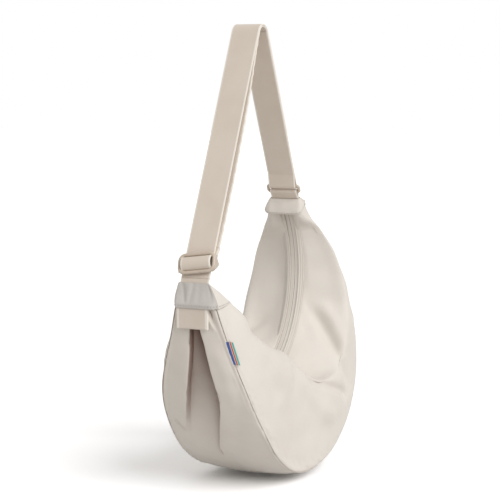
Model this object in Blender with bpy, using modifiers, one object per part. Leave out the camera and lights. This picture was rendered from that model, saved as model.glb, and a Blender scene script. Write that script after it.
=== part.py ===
"""Half moon crossbody bag, hung from the top of its strap.

Metres, +Z up, front panel towards -Y, the higher (far) end of the bag towards +X.
The origin is the point of the strap that rests on a hook or a shoulder.

The bag is laid out round the zip, which is one arc of a circle. Every cross-section of
the body is a plane through that circle's axis, so a place on the body is an angle about
the axis, a radius from it and a distance y from the middle plane.
"""
import math

import bmesh
import bpy
from mathutils import Matrix, Vector

# How the bag hangs
TILT = math.radians(17.7)
ZIP_CENTRE_X = 0.006
ZIP_CENTRE_DROP = 0.320

# Body
ZIP_RADIUS = 0.136
BAG_DEPTH = 0.124
HALF_THICKNESS = 0.070
CREST_RISE = 0.042
PANEL_BULGE = 0.007
GUSSET_BULGE = 0.006
ZIP_SLOT_HALF = 0.007
PANEL_THICKNESS = 0.0010
LINING_THICKNESS = 0.0006
SEAM_GAP = 0.0004
LINING_GAP = 0.0015
POCKET_GAP = 0.0009
LINING_EDGE_SHARES = (0.4, 0.6)

# Zip
TAPE_HALF_WIDTH = 0.013
TAPE_SPLIT_HALF = 0.0008
TAPE_THICKNESS = 0.0006
COIL_RADIUS = 0.0011
SLIDER_LENGTH = 0.011
SLIDER_HALF_WIDTH = 0.0045
SLIDER_PLATE = 0.0012
SLIDER_STEP = 0.0002
SLIDER_NECK_LENGTH = 0.003
SLIDER_NECK_THICKNESS = 0.0010
BRIDGE_WIRE_RADIUS = 0.0007
BRIDGE_HEIGHT = 0.0032
BRIDGE_HALF_LENGTH = 0.0035
PULL_LENGTH = 0.022
PULL_WIDTH = 0.007
PULL_THICKNESS = 0.0012
PULL_EYE_WIDTH = 0.0030
PULL_EYE_LENGTH = 0.0042
PULL_LIFT = math.radians(9.0)
PULL_MARGIN = 0.005
STOP_LENGTH = 0.0025

# End caps and webbing tabs
CAP_HEIGHT = 0.027
CAP_LIP = 0.0034
CAP_WALL = 0.0010
CAP_CORNER = 0.003
RIM_GAP = 0.0008
TAB_LENGTH = 0.029
FAR_TAB_LEAN = math.radians(3.0)

# Strap
STRAP_WIDTH = 0.038
WEBBING_THICKNESS = 0.0016
LAYER_GAP = 0.0003
APEX_RADIUS = 0.012
SLOT_CLEARANCE = 0.0007
WEBBING_TUCK = 0.003
NEAR_END_LENGTH = 0.0065
END_LOOP_LENGTH = 0.022
LOOP_TAIL_SHARE = 0.7
INNER_SHIFT = 0.004
INNER_SLACK = 0.003
MERGE_LENGTH = 0.016
# The inner layer up the near leg: how far up, how far it is shifted to the front (share
# of INNER_SHIFT) and how slack it is (share of INNER_SLACK).
INNER_LAYER_SHARES = ((0.0, 1.0, 0.0), (0.1, 1.0, 0.5), (0.3, 1.0, 1.0), (0.5, 0.9, 1.0),
                      (0.7, 0.7, 0.8), (0.9, 0.2, 0.2), (1.0, 0.0, 0.0))

# Tri-glide and ring
GLIDE_STATION = 0.0245
GLIDE_WIDTH = 0.049
GLIDE_HEIGHT = 0.027
GLIDE_CORNER = 0.008
GLIDE_WIRE_RADIUS = 0.0022
GLIDE_BAR_RADIUS = 0.0017
GLIDE_LUG_HALF = 0.0025
GLIDE_ROLL = math.radians(8.0)
HARDWARE_GAP = 0.0004
RING_STATION = 0.019
RING_WIDTH = 0.048
RING_BAR_SPACING = 0.011
RING_CORNER = 0.003
RING_WIRE_RADIUS = 0.0020

# Ribbon tab in the front seam and slip pocket on the back lining
RIBBON_THICKNESS = 0.0008
RIBBON_REACH = 0.007
RIBBON_HEM = 0.0015
RIBBON_ANGLES = (183.5, 193.0)
POCKET_FIRST_STATION = 12
POCKET_LAST_STATION = 18

# The body from the near cap to the far cap. The columns are the angle about the zip
# centre in degrees, the depth beyond the zip as a share of BAG_DEPTH, the half width at
# the seams as a share of HALF_THICKNESS, the rise of the panels' crest above the zip as
# a share of CREST_RISE, and the panels' bulge as a share of PANEL_BULGE.
STATION_SHARES = (
    (167.0, 0.243, 0.350, 0.05, 0.0),
    (180.0, 0.245, 0.500, 0.35, 0.4),
    (193.0, 0.300, 0.690, 0.60, 0.8),
    (206.0, 0.390, 0.860, 0.75, 1.0),
    (223.0, 0.525, 0.975, 0.87, 1.0),
    (238.0, 0.710, 1.000, 0.95, 1.0),
    (254.0, 0.890, 1.000, 1.00, 1.0),
    (268.0, 0.960, 1.000, 1.00, 1.0),
    (281.0, 0.990, 1.000, 1.00, 1.0),
    (294.0, 0.970, 0.990, 1.00, 1.0),
    (306.0, 0.870, 0.960, 0.98, 1.0),
    (317.0, 0.680, 0.920, 0.95, 1.0),
    (331.0, 0.412, 0.820, 0.88, 1.0),
    (350.0, 0.192, 0.620, 0.74, 0.9),
    (366.5, 0.108, 0.390, 0.46, 0.4),
    (374.5, 0.094, 0.290, 0.30, 0.0),
)
# A panel's section from the zip to the seam: how far it has come from the zip edge out
# to the widest line, and how far it stands above the zip (+, shares of the crest rise)
# or below it (-, shares of the depth).
PROFILE_SHARES = (
    (0.00, 0.00),
    (0.30, 0.62),
    (0.66, 1.00),
    (0.93, 0.55),
    (1.00, -0.22),
    (0.97, -0.62),
)
NEAR_ANGLE = STATION_SHARES[0][0]
FAR_ANGLE = STATION_SHARES[-1][0]

# How finely the shapes are divided
PROFILE_NUDGE_SHARE = 0.01
WELD_DISTANCE = 0.00001
SHARP_ANGLE = math.radians(40)
BODY_STEPS = 30
PANEL_STEPS = 8
GUSSET_STEPS = 4
ZIP_STEPS = 40
CAP_RINGS = 5
CAP_CORNER_STEPS = 3
TAB_FOLD_STEPS = 4
RIBBON_STEPS = 4
APEX_STEPS = 10
WRAP_STEPS = 8
GLIDE_CORNER_STEPS = 5
RING_CORNER_STEPS = 4
HARDWARE_SIDES = 3

LAYER_PITCH = WEBBING_THICKNESS + LAYER_GAP
OUTER_BEND = APEX_RADIUS + 1.5 * WEBBING_THICKNESS + LAYER_GAP
RING_WRAP = RING_WIRE_RADIUS + LAYER_GAP + WEBBING_THICKNESS / 2
GLIDE_WRAP = GLIDE_BAR_RADIUS + LAYER_GAP + WEBBING_THICKNESS / 2

for old in list(bpy.data.objects):
    bpy.data.objects.remove(old, do_unlink=True)
parts = bpy.data.collections.new("half_moon_crossbody_bag")
cutters = bpy.data.collections.new("joined_shapes")
bpy.context.scene.collection.children.link(parts)
bpy.context.scene.collection.children.link(cutters)


def material(name, colour, roughness, metallic=0.0):
    """A plain Principled material."""
    made = bpy.data.materials.new(name)
    made.use_nodes = True
    shader = made.node_tree.nodes["Principled BSDF"]
    shader.inputs["Base Color"].default_value = (*colour, 1.0)
    shader.inputs["Roughness"].default_value = roughness
    shader.inputs["Metallic"].default_value = metallic
    return made


SHELL_FABRIC = material("bone_nylon", (0.76, 0.72, 0.66), 0.75)
LINING_FABRIC = material("lining_taffeta", (0.60, 0.55, 0.48), 0.65)
WEBBING = material("beige_webbing", (0.56, 0.49, 0.42), 0.85)
PLASTIC = material("beige_acetal", (0.50, 0.42, 0.35), 0.45)
TAPE = material("zip_tape", (0.70, 0.66, 0.60), 0.80)
COIL = material("zip_coil", (0.55, 0.50, 0.45), 0.40)
METAL = material("painted_zinc", (0.55, 0.48, 0.42), 0.35, 0.6)
RIBBON = material("woven_ribbon", (0.30, 0.45, 0.42), 0.70)


def station(angle):
    """Outer radius, seam half width, crest rise and bulge at an angle in degrees."""
    rows = STATION_SHARES
    last = len(rows) - 1
    index = max(i for i in range(last) if rows[i][0] <= angle or i == 0)
    low, high = rows[index], rows[index + 1]
    before, after = rows[max(index - 1, 0)], rows[min(index + 2, last)]
    span = high[0] - low[0]
    t = (angle - low[0]) / span
    values = []
    for column in range(1, 5):
        slope_low = (high[column] - before[column]) / (high[0] - before[0]) * span
        slope_high = (after[column] - low[column]) / (after[0] - low[0]) * span
        values.append((2 * t**3 - 3 * t**2 + 1) * low[column]
                      + (t**3 - 2 * t**2 + t) * slope_low
                      + (3 * t**2 - 2 * t**3) * high[column]
                      + (t**3 - t**2) * slope_high)
    depth, half, rise, bulge = values
    return (ZIP_RADIUS + depth * BAG_DEPTH, half * HALF_THICKNESS, rise * CREST_RISE,
            bulge * PANEL_BULGE)


def spline(points, share):
    """A place on the smooth curve through the points, share running from 0 to 1."""
    last = len(points) - 1
    index = min(int(share * last), last - 1)
    t = share * last - index
    p0 = points[max(index - 1, 0)]
    p1, p2 = points[index], points[index + 1]
    p3 = points[min(index + 2, last)]
    return 0.5 * (2 * p1 + (p2 - p0) * t + (2 * p0 - 5 * p1 + 4 * p2 - p3) * t**2
                  + (3 * p1 - p0 - 3 * p2 + p3) * t**3)


def panel_profile(angle):
    """A panel's section at an angle, as (radius, half width) points."""
    outer, half, rise, bulge = station(angle)
    widest = half + bulge
    profile = []
    for across, height in PROFILE_SHARES:
        step = rise if height > 0 else outer - ZIP_RADIUS
        profile.append(Vector((ZIP_RADIUS - height * step,
                               ZIP_SLOT_HALF + across * (widest - ZIP_SLOT_HALF))))
    profile.append(Vector((outer, half)))
    return profile


def panel_point(angle, share, inset):
    """A place on a panel's section, moved inwards square to it."""
    profile = panel_profile(angle)
    place = spline(profile, share)
    ahead = spline(profile, min(share + PROFILE_NUDGE_SHARE, 1.0))
    along = ahead - spline(profile, max(share - PROFILE_NUDGE_SHARE, 0.0))
    inward = Vector((along.y, -along.x)).normalized()
    return place + inward * inset


def polar(angle, radius, y):
    """A point in the bag's own frame, whose origin is the zip's centre."""
    turn = math.radians(angle)
    return Vector((radius * math.cos(turn), y, radius * math.sin(turn)))


def spaced(start, end, steps):
    """Evenly spaced values from start to end."""
    return [start + (end - start) * i / steps for i in range(steps + 1)]


bag_frame = bpy.data.objects.new("bag_frame", None)
bag_frame.location = (ZIP_CENTRE_X, 0, -ZIP_CENTRE_DROP)
bag_frame.rotation_euler = (0, -TILT, 0)
parts.objects.link(bag_frame)
BAG_MATRIX = Matrix.LocRotScale(bag_frame.location, bag_frame.rotation_euler, None)


def to_world(point):
    """A point of the bag's frame as (x, z) in the world."""
    moved = BAG_MATRIX @ Vector((point[0], 0, point[-1]))
    return Vector((moved.x, moved.z))


def finish(made, paint, parent=None, smooth=True):
    """Link an object, give it its material and shade it."""
    parts.objects.link(made)
    made.data.materials.append(paint)
    if parent:
        made.parent = parent
    if smooth:
        made.data.shade_smooth()
        made.data.set_sharp_from_angle(angle=SHARP_ANGLE)
    return made


def set_origin(made, origin):
    """Move an unrotated mesh object's origin without moving its shape."""
    made.data.transform(Matrix.Translation(-Vector(origin)))
    made.location = origin


def solidify(made, thickness, offset):
    """Thicken an open surface."""
    modifier = made.modifiers.new("thickness", "SOLIDIFY")
    modifier.thickness = thickness
    modifier.offset = offset
    modifier.use_even_offset = True


def sheet(name, rows, closed=False):
    """An open surface lofted through rows of points."""
    mesh = bpy.data.meshes.new(name)
    build = bmesh.new()
    lines = [[build.verts.new(point) for point in row] for row in rows]
    for low, high in zip(lines, lines[1:]):
        count = len(low)
        for i in range(count if closed else count - 1):
            j = (i + 1) % count
            build.faces.new((low[i], low[j], high[j], high[i]))
    build.to_mesh(mesh)
    build.free()
    return bpy.data.objects.new(name, mesh)


def shell(name, rows, thickness, paint, offset=-1.0, closed=False, flip=False):
    """A sheet of fabric of the given thickness in the bag's frame."""
    made = sheet(name, [row[::-1] for row in rows] if flip else rows, closed)
    solidify(made, thickness, offset)
    return finish(made, paint, bag_frame)


def ribbon(name, path, shifts=None):
    """Webbing that follows a path of (x, z) points, its width along Y."""
    rows = []
    for (x, z), y in zip(path, shifts or [0.0] * len(path)):
        rows.append([(x, y - STRAP_WIDTH / 2, z), (x, y + STRAP_WIDTH / 2, z)])
    made = sheet(name, rows)
    solidify(made, WEBBING_THICKNESS, 0.0)
    return finish(made, WEBBING)


def box(name, size, centre, matrix):
    """A box of the given size, centred in a local frame."""
    bpy.ops.mesh.primitive_cube_add(size=1.0)
    made = bpy.context.object
    made.name = name
    made.data.transform(matrix @ Matrix.Translation(centre) @ Matrix.Diagonal((*size, 1.0)))
    for holder in list(made.users_collection):
        holder.objects.unlink(made)
    return made


def tube(name, points, radius, cyclic=False, resolution=2):
    """A wire along a list of points, as a mesh."""
    data = bpy.data.curves.new(name, "CURVE")
    data.dimensions = "3D"
    data.bevel_depth = radius
    data.bevel_resolution = resolution
    data.use_fill_caps = not cyclic
    line = data.splines.new("POLY")
    line.points.add(len(points) - 1)
    for control, point in zip(line.points, points):
        control.co = (*point, 1.0)
    line.use_cyclic_u = cyclic
    curve = bpy.data.objects.new(name + "_wire", data)
    parts.objects.link(curve)
    bpy.context.view_layer.update()
    evaluated = curve.evaluated_get(bpy.context.evaluated_depsgraph_get())
    mesh = bpy.data.meshes.new_from_object(evaluated)
    bpy.data.objects.remove(curve)
    build = bmesh.new()
    build.from_mesh(mesh)
    bmesh.ops.remove_doubles(build, verts=build.verts, dist=WELD_DISTANCE)
    bmesh.ops.recalc_face_normals(build, faces=build.faces)
    build.to_mesh(mesh)
    build.free()
    mesh.name = name
    return bpy.data.objects.new(name, mesh)


def join(base, others, parent):
    """Unite other shapes with the base, which becomes one body under the parent."""
    for other in others:
        cutters.objects.link(other)
        other.parent = parent
        other.hide_render = True
        other.display_type = "WIRE"
        modifier = base.modifiers.new(other.name, "BOOLEAN")
        modifier.operation = "UNION"
        modifier.object = other


def rounded_frame(half_width, half_height, corner, steps):
    """The centreline of a rectangle with round corners, as (across, up) points."""
    points = []
    for quarter, (sx, sz) in enumerate(((1, 1), (-1, 1), (-1, -1), (1, -1))):
        for turn in spaced(quarter * math.pi / 2, (quarter + 1) * math.pi / 2, steps):
            points.append((sx * (half_width - corner) + corner * math.cos(turn),
                           sz * (half_height - corner) + corner * math.sin(turn)))
    return points


def tangent(centre_1, radius_1, centre_2, radius_2, side):
    """Where an outer tangent touches two circles; its normal leans towards side."""
    along = centre_2 - centre_1
    lean = (radius_1 - radius_2) / along.length
    unit = along.normalized()
    square = Vector((-unit.y, unit.x))
    if square.dot(side) < 0:
        square.negate()
    normal = unit * lean + square * math.sqrt(1 - lean**2)
    return centre_1 + normal * radius_1, centre_2 + normal * radius_2, normal


def arc(centre, radius, start, end, clockwise, steps):
    """Points on a circle between two directions, both given as vectors."""
    first = math.atan2(start.y, start.x)
    sweep = math.atan2(end.y, end.x) - first
    if clockwise and sweep > 0:
        sweep -= 2 * math.pi
    if not clockwise and sweep < 0:
        sweep += 2 * math.pi
    return [centre + radius * Vector((math.cos(first + sweep * i / steps),
                                      math.sin(first + sweep * i / steps)))
            for i in range(steps + 1)]


# Front and back panels, from the zip over the crest to the seam
angles = spaced(NEAR_ANGLE, FAR_ANGLE, BODY_STEPS)
panel_shares = spaced(0.0, 1.0, PANEL_STEPS)
for name, side in (("front_panel", -1), ("back_panel", 1)):
    rows = []
    for angle in angles:
        points = [panel_point(angle, share, 0.0) for share in panel_shares]
        rows.append([polar(angle, p.x, side * p.y) for p in points])
    shell(name, rows, PANEL_THICKNESS, SHELL_FABRIC, flip=side > 0)

# Gusset, the long strip between the two seams
rows = []
for angle in angles:
    outer, half, rise, bulge = station(angle)
    crown = GUSSET_BULGE * bulge / PANEL_BULGE
    edge = half - PANEL_THICKNESS - 2 * SEAM_GAP
    rows.append([polar(angle, outer + crown * (1 - share**2), edge * share)
                 for share in spaced(-1.0, 1.0, GUSSET_STEPS)])
shell("gusset_panel", rows, PANEL_THICKNESS, SHELL_FABRIC)

# Lining, a thinner copy of the three pieces just inside them
LINING_INSET = PANEL_THICKNESS + LINING_GAP
lining_angles = angles[1:-1]
for name, side in (("lining_front", -1), ("lining_back", 1)):
    rows = []
    for angle in lining_angles:
        points = [panel_point(angle, share, LINING_INSET) for share in panel_shares]
        first = points[1].lerp(points[2], LINING_EDGE_SHARES[0])
        last = points[-2].lerp(points[-1], LINING_EDGE_SHARES[1])
        points = [first, *points[2:-1], last]
        rows.append([polar(angle, p.x, side * p.y) for p in points])
    shell(name, rows, LINING_THICKNESS, LINING_FABRIC, flip=side > 0)
rows = []
for angle in lining_angles:
    outer, half, rise, bulge = station(angle)
    crown = GUSSET_BULGE * bulge / PANEL_BULGE
    edge = half - 2 * (PANEL_THICKNESS + LINING_THICKNESS + SEAM_GAP)
    rows.append([polar(angle, outer - LINING_INSET + crown * (1 - share**2), edge * share)
                 for share in spaced(-1.0, 1.0, GUSSET_STEPS)])
shell("lining_gusset", rows, LINING_THICKNESS, LINING_FABRIC)

# Slip pocket, a patch that lies on the back lining
POCKET_INSET = LINING_INSET + LINING_THICKNESS + POCKET_GAP
rows = []
for angle in angles[POCKET_FIRST_STATION:POCKET_LAST_STATION + 1]:
    points = [panel_point(angle, share, POCKET_INSET)
              for share in panel_shares[PANEL_STEPS // 2:-1]]
    rows.append([polar(angle, p.x, p.y) for p in points])
shell("inner_pocket", rows, LINING_THICKNESS, LINING_FABRIC, flip=True)

# Zip tapes, flat under the panels' folded edges
TAPE_RADIUS = ZIP_RADIUS + PANEL_THICKNESS + SEAM_GAP
COIL_CENTRE_RADIUS = TAPE_RADIUS + TAPE_THICKNESS + LAYER_GAP + COIL_RADIUS
END_GAP = math.degrees(SEAM_GAP / ZIP_RADIUS)
SLIDER_REACH = math.degrees((PULL_LENGTH + PULL_MARGIN) / ZIP_RADIUS)
SLIDER_START = NEAR_ANGLE + SLIDER_REACH
SLIDER_END = FAR_ANGLE - SLIDER_REACH
SLIDER_HALF_TURN = math.degrees((SLIDER_LENGTH / 2 + SEAM_GAP) / ZIP_RADIUS)
STOP_TURN = math.degrees(STOP_LENGTH / ZIP_RADIUS)
tape_angles = spaced(NEAR_ANGLE + END_GAP, FAR_ANGLE - END_GAP, ZIP_STEPS)
coil_angles = spaced(SLIDER_START - SLIDER_HALF_TURN, SLIDER_END + SLIDER_HALF_TURN, ZIP_STEPS)
for name, side in (("front", -1), ("back", 1)):
    rows = [[polar(angle, TAPE_RADIUS, side * TAPE_SPLIT_HALF),
             polar(angle, TAPE_RADIUS, side * TAPE_HALF_WIDTH)] for angle in tape_angles]
    shell("zip_tape_" + name, rows, TAPE_THICKNESS, TAPE, flip=side > 0)
    y = side * (TAPE_SPLIT_HALF + COIL_RADIUS)
    coil = tube("zip_coil_" + name, [polar(angle, COIL_CENTRE_RADIUS, y) for angle in coil_angles],
                COIL_RADIUS, resolution=1)
    finish(coil, COIL, bag_frame)


def on_zip(angle):
    """A frame on the zip: X along it, Y across it, Z towards its centre."""
    along = polar(angle + 90, 1.0, 0.0)
    up = polar(angle + 180, 1.0, 0.0)
    turn = Matrix((along, (0, 1, 0), up)).transposed().to_4x4()
    return Matrix.Translation(polar(angle, ZIP_RADIUS, 0.0)) @ turn


# Stops at both ends of the coils
COIL_HEIGHT = -(COIL_CENTRE_RADIUS - ZIP_RADIUS)
STOP_SIZE = (STOP_LENGTH, 2 * (TAPE_SPLIT_HALF + 2 * COIL_RADIUS), 2 * COIL_RADIUS)
for name, angle in (("zip_stop_near", SLIDER_START - SLIDER_HALF_TURN - STOP_TURN / 2 - END_GAP),
                    ("zip_stop_far", SLIDER_END + SLIDER_HALF_TURN + STOP_TURN / 2 + END_GAP)):
    stop = box(name, STOP_SIZE, (0, 0, COIL_HEIGHT), on_zip(angle))
    finish(stop, METAL, bag_frame, smooth=False)

# Slider: two plates and side flanges round the coils, a neck between the tapes and a
# wire bridge that holds the pull. Its parent empty is on the zip's axis.
zip_axis = bpy.data.objects.new("zip_axis", None)
parts.objects.link(zip_axis)
zip_axis.parent = bag_frame
slider_frame = on_zip(SLIDER_START)
TOP_PLATE = SLIDER_PLATE / 2 - PANEL_THICKNESS
BOTTOM_PLATE = COIL_HEIGHT - COIL_RADIUS - LAYER_GAP - SLIDER_PLATE / 2
FLANGE_EDGE = SLIDER_HALF_WIDTH - SLIDER_STEP
FLANGE_THICKNESS = FLANGE_EDGE - TAPE_SPLIT_HALF - 2 * COIL_RADIUS - SEAM_GAP
FLANGE_TOP = -(TAPE_RADIUS + TAPE_THICKNESS + SEAM_GAP - ZIP_RADIUS)
slider = box("zip_slider", (SLIDER_LENGTH, 2 * SLIDER_HALF_WIDTH, SLIDER_PLATE),
             (0, 0, TOP_PLATE), slider_frame)
plate = box("slider_bottom", (SLIDER_LENGTH, 2 * SLIDER_HALF_WIDTH, SLIDER_PLATE),
            (0, 0, BOTTOM_PLATE), slider_frame)
neck = box("slider_neck",
           (SLIDER_NECK_LENGTH, SLIDER_NECK_THICKNESS, TOP_PLATE - BOTTOM_PLATE),
           (-SLIDER_LENGTH / 2 + SLIDER_NECK_LENGTH, 0, (TOP_PLATE + BOTTOM_PLATE) / 2),
           slider_frame)
flanges = [box("slider_flange",
               (SLIDER_LENGTH - 2 * SLIDER_STEP, FLANGE_THICKNESS, FLANGE_TOP - BOTTOM_PLATE),
               (0, side * (FLANGE_EDGE - FLANGE_THICKNESS / 2),
                (FLANGE_TOP + BOTTOM_PLATE) / 2), slider_frame) for side in (-1, 1)]
bridge_base = TOP_PLATE + SLIDER_PLATE / 4
bridge_top = TOP_PLATE + SLIDER_PLATE / 2 + BRIDGE_HEIGHT
bridge_points = [(-BRIDGE_HALF_LENGTH, 0, bridge_base), (-BRIDGE_HALF_LENGTH, 0, bridge_top),
                 (BRIDGE_HALF_LENGTH, 0, bridge_top), (BRIDGE_HALF_LENGTH, 0, bridge_base)]
bridge = tube("slider_bridge", [slider_frame @ Vector(p) for p in bridge_points],
              BRIDGE_WIRE_RADIUS)
join(slider, [plate, neck, *flanges, bridge], zip_axis)
finish(slider, METAL, zip_axis, smooth=False)

# Pull: a flat plate with an eye whose end bar lies under the bridge
PIVOT_HEIGHT = bridge_top - BRIDGE_WIRE_RADIUS - LAYER_GAP - PULL_THICKNESS / 2
pull_pivot = bpy.data.objects.new("pull_pivot", None)
parts.objects.link(pull_pivot)
pull_pivot.parent = zip_axis
pull_pivot.matrix_local = (slider_frame @ Matrix.Translation((0, 0, PIVOT_HEIGHT))
                           @ Matrix.Rotation(-PULL_LIFT, 4, "Y"))
PULL_FRAME = Matrix.Identity(4)
end_bar = PULL_THICKNESS / 2
eye_centre = end_bar + PULL_EYE_LENGTH / 2
plate_start = end_bar + PULL_EYE_LENGTH
pull = box("zip_pull", (PULL_LENGTH - plate_start, PULL_WIDTH, PULL_THICKNESS),
           ((PULL_LENGTH + plate_start) / 2, 0, 0), PULL_FRAME)
rail = (PULL_WIDTH - PULL_EYE_WIDTH) / 2
rails = [box("pull_rail", (PULL_EYE_LENGTH + 2 * end_bar, rail, PULL_THICKNESS),
             (eye_centre, side * (PULL_EYE_WIDTH + rail) / 2, 0), PULL_FRAME) for side in (-1, 1)]
bar = box("pull_bar", (PULL_THICKNESS, PULL_WIDTH - rail, PULL_THICKNESS), (0, 0, 0), PULL_FRAME)
join(pull, [*rails, bar], pull_pivot)
finish(pull, METAL, pull_pivot, smooth=False)

# Where the webbing leaves the caps, in the bag's frame and in the world
near_outer = station(NEAR_ANGLE)[0]
far_outer = station(FAR_ANGLE)[0]
near_tip = polar(NEAR_ANGLE - math.degrees(CAP_HEIGHT / near_outer), near_outer - CAP_LIP, 0.0)
far_tip = polar(FAR_ANGLE + math.degrees(CAP_HEIGHT / far_outer), far_outer - CAP_LIP, 0.0)
near_exit = to_world(near_tip)
far_exit = to_world(far_tip)
near_inside = (to_world(polar(NEAR_ANGLE, (near_outer + ZIP_RADIUS) / 2, 0.0))
               - near_exit).normalized()
apex = Vector((0, -APEX_RADIUS))
_, near_touch, near_normal = tangent(near_exit, 0.0, apex, OUTER_BEND, Vector((-1, 0)))
near_up = (near_touch - near_exit).normalized()
far_up = (apex - far_exit).normalized()
far_side = Vector((far_up.y, -far_up.x))


def section_loop(centre, across, half_across, half_y, corner, steps):
    """A rectangle with round corners, one way along a vector and the other along Y."""
    return [centre + across * a + Vector((0, b, 0))
            for a, b in rounded_frame(half_across, half_y, corner, steps)]


def to_bag(direction):
    """A direction (x, z) of the world in the bag's frame."""
    turned = BAG_MATRIX.to_3x3().transposed() @ Vector((direction.x, 0, direction.y))
    return turned.normalized()


# End caps: from the body's end section to the slot that the webbing leaves by
for name, angle, away, tip, normal, layers in (
        ("near_end_cap", NEAR_ANGLE, -1, near_tip, near_normal, 1),
        ("far_end_cap", FAR_ANGLE, 1, far_tip, far_side, 2)):
    outer, half, rise, bulge = station(angle)
    inner = ZIP_RADIUS - rise
    rim_angle = angle + away * math.degrees(RIM_GAP / inner)
    slot_depth = (layers * WEBBING_THICKNESS + (layers - 1) * LAYER_GAP) / 2 + SLOT_CLEARANCE
    slot_width = STRAP_WIDTH / 2 + SLOT_CLEARANCE
    rim = section_loop(polar(rim_angle, (outer + inner) / 2, 0.0), polar(angle, 1.0, 0.0),
                       (outer - inner) / 2, half, CAP_CORNER, CAP_CORNER_STEPS)
    slot = section_loop(tip, to_bag(normal), slot_depth, slot_width, slot_depth / 2,
                        CAP_CORNER_STEPS)
    rows = [[low.lerp(high, share) for low, high in zip(rim, slot)]
            for share in spaced(0.0, 1.0, CAP_RINGS)]
    shell(name, rows, CAP_WALL, SHELL_FABRIC, offset=1.0, closed=True, flip=away < 0)

# Webbing tabs: a doubled piece of webbing sewn in under each cap's rim
TAB_THICKNESS = 2 * WEBBING_THICKNESS + LAYER_GAP
near_hang = to_bag(Vector((0, -1)))
far_tab_angle = FAR_ANGLE - math.degrees(TAB_LENGTH / far_outer)
outer, half, rise, bulge = station(far_tab_angle)
far_wall = (polar(far_tab_angle, outer + GUSSET_BULGE * bulge / PANEL_BULGE, 0.0)
            - polar(FAR_ANGLE, far_outer, 0.0)).normalized()
far_hang = Matrix.Rotation(-FAR_TAB_LEAN, 3, "Y") @ far_wall
for name, angle, down in (("near_webbing_tab", NEAR_ANGLE, near_hang),
                          ("far_webbing_tab", FAR_ANGLE, far_hang)):
    outer = station(angle)[0]
    out = polar(angle, 1.0, 0.0)
    square = (out - down * out.dot(down)).normalized()
    top = polar(angle, outer, 0.0) - down * (RIM_GAP - SEAM_GAP)
    inner_line = top + square * (SEAM_GAP + WEBBING_THICKNESS / 2)
    outer_line = inner_line + square * LAYER_PITCH
    turn = inner_line + square * (LAYER_PITCH / 2) + down * (TAB_LENGTH - TAB_THICKNESS / 2)
    fold = [turn + down * (LAYER_PITCH / 2 * math.sin(t)) - square * (LAYER_PITCH / 2 * math.cos(t))
            for t in spaced(0.0, math.pi, TAB_FOLD_STEPS)]
    path = [inner_line, *fold, outer_line]
    rows = [[p + Vector((0, -STRAP_WIDTH / 2, 0)), p + Vector((0, STRAP_WIDTH / 2, 0))]
            for p in path]
    tab = shell(name, rows, WEBBING_THICKNESS, WEBBING, offset=0.0)
    set_origin(tab, inner_line)

# Ribbon tab in the front seam
rows = []
for angle in spaced(*RIBBON_ANGLES, RIBBON_STEPS):
    outer, half, rise, bulge = station(angle)
    rows.append([polar(angle, outer + SEAM_GAP, -(half - RIBBON_HEM)),
                 polar(angle, outer + SEAM_GAP, -(half + RIBBON_REACH))])
shell("side_ribbon", rows, RIBBON_THICKNESS, RIBBON, offset=1.0, flip=True)

# Strap: out of the near cap, over the apex, round the ring's upper bar and back inside
# itself as far as the apex
ring_bar = far_exit + far_up * RING_STATION
ring_low_bar = ring_bar - far_up * RING_BAR_SPACING
far_touch, wrap_touch, far_normal = tangent(apex, OUTER_BEND, ring_bar, RING_WRAP, Vector((1, 0)))
leg_up = (far_touch - wrap_touch).normalized()
merge = wrap_touch - far_normal * LAYER_PITCH + leg_up * MERGE_LENGTH
_, _, leave_normal = tangent(merge, 0.0, ring_bar, RING_WRAP, -far_normal)
strap_start = near_exit + near_up * (NEAR_END_LENGTH + LAYER_GAP)
strap_path = [strap_start]
strap_path += arc(apex, OUTER_BEND, near_normal, far_normal, True, APEX_STEPS)
strap_path += arc(ring_bar, RING_WRAP, far_normal, leave_normal, True, WRAP_STEPS)
strap_path += [merge]
strap_path += arc(apex, OUTER_BEND - LAYER_PITCH, far_normal, near_normal, False, APEX_STEPS)
ribbon("strap_webbing", strap_path)

# The strap's lower end, from the near cap to below the tri-glide
ribbon("strap_near_end", [near_exit + near_inside * WEBBING_TUCK, near_exit,
                          near_exit + near_up * NEAR_END_LENGTH])

# The end of the strap's inner layer, looped round the tri-glide's rear bar and sewn. The
# bar is rolled with the tri-glide, so the loop hangs lower than the bar's middle.
glide_centre = near_exit + near_up * GLIDE_STATION
inner_line = glide_centre - near_normal * LAYER_PITCH
tail_line = inner_line - near_normal * LAYER_PITCH
roll_drop = STRAP_WIDTH / 2 * math.sin(GLIDE_ROLL)
bar_depth = LAYER_PITCH + GLIDE_WRAP
turn_centre = glide_centre - near_normal * bar_depth - near_up * roll_drop
bar_top = near_up * (roll_drop + 2 * GLIDE_BAR_RADIUS)
loop_path = [inner_line + near_up * END_LOOP_LENGTH, inner_line + bar_top]
loop_path += arc(turn_centre, GLIDE_WRAP, near_normal, -near_normal, False, WRAP_STEPS)
loop_path += [inner_line - near_normal * 2 * GLIDE_WRAP + bar_top,
              tail_line + near_up * END_LOOP_LENGTH * LOOP_TAIL_SHARE,
              tail_line + near_up * END_LOOP_LENGTH]
loop_shifts = [-INNER_SHIFT, *[0.0] * (len(loop_path) - 3),
               -INNER_SHIFT * LOOP_TAIL_SHARE, -INNER_SHIFT]
ribbon("strap_end_loop", loop_path, loop_shifts)

# The rest of the inner layer, slack and a little to the front between the sewn end and
# the apex
inner_top = apex + near_normal * (OUTER_BEND - LAYER_PITCH) - near_up * LAYER_GAP
inner_low = inner_line + near_up * (END_LOOP_LENGTH + LAYER_GAP)
ribbon("strap_inner_layer",
       [inner_low.lerp(inner_top, up) - near_normal * slack * INNER_SLACK
        for up, _, slack in INNER_LAYER_SHARES],
       [-shift * INNER_SHIFT for _, shift, _ in INNER_LAYER_SHARES])

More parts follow.
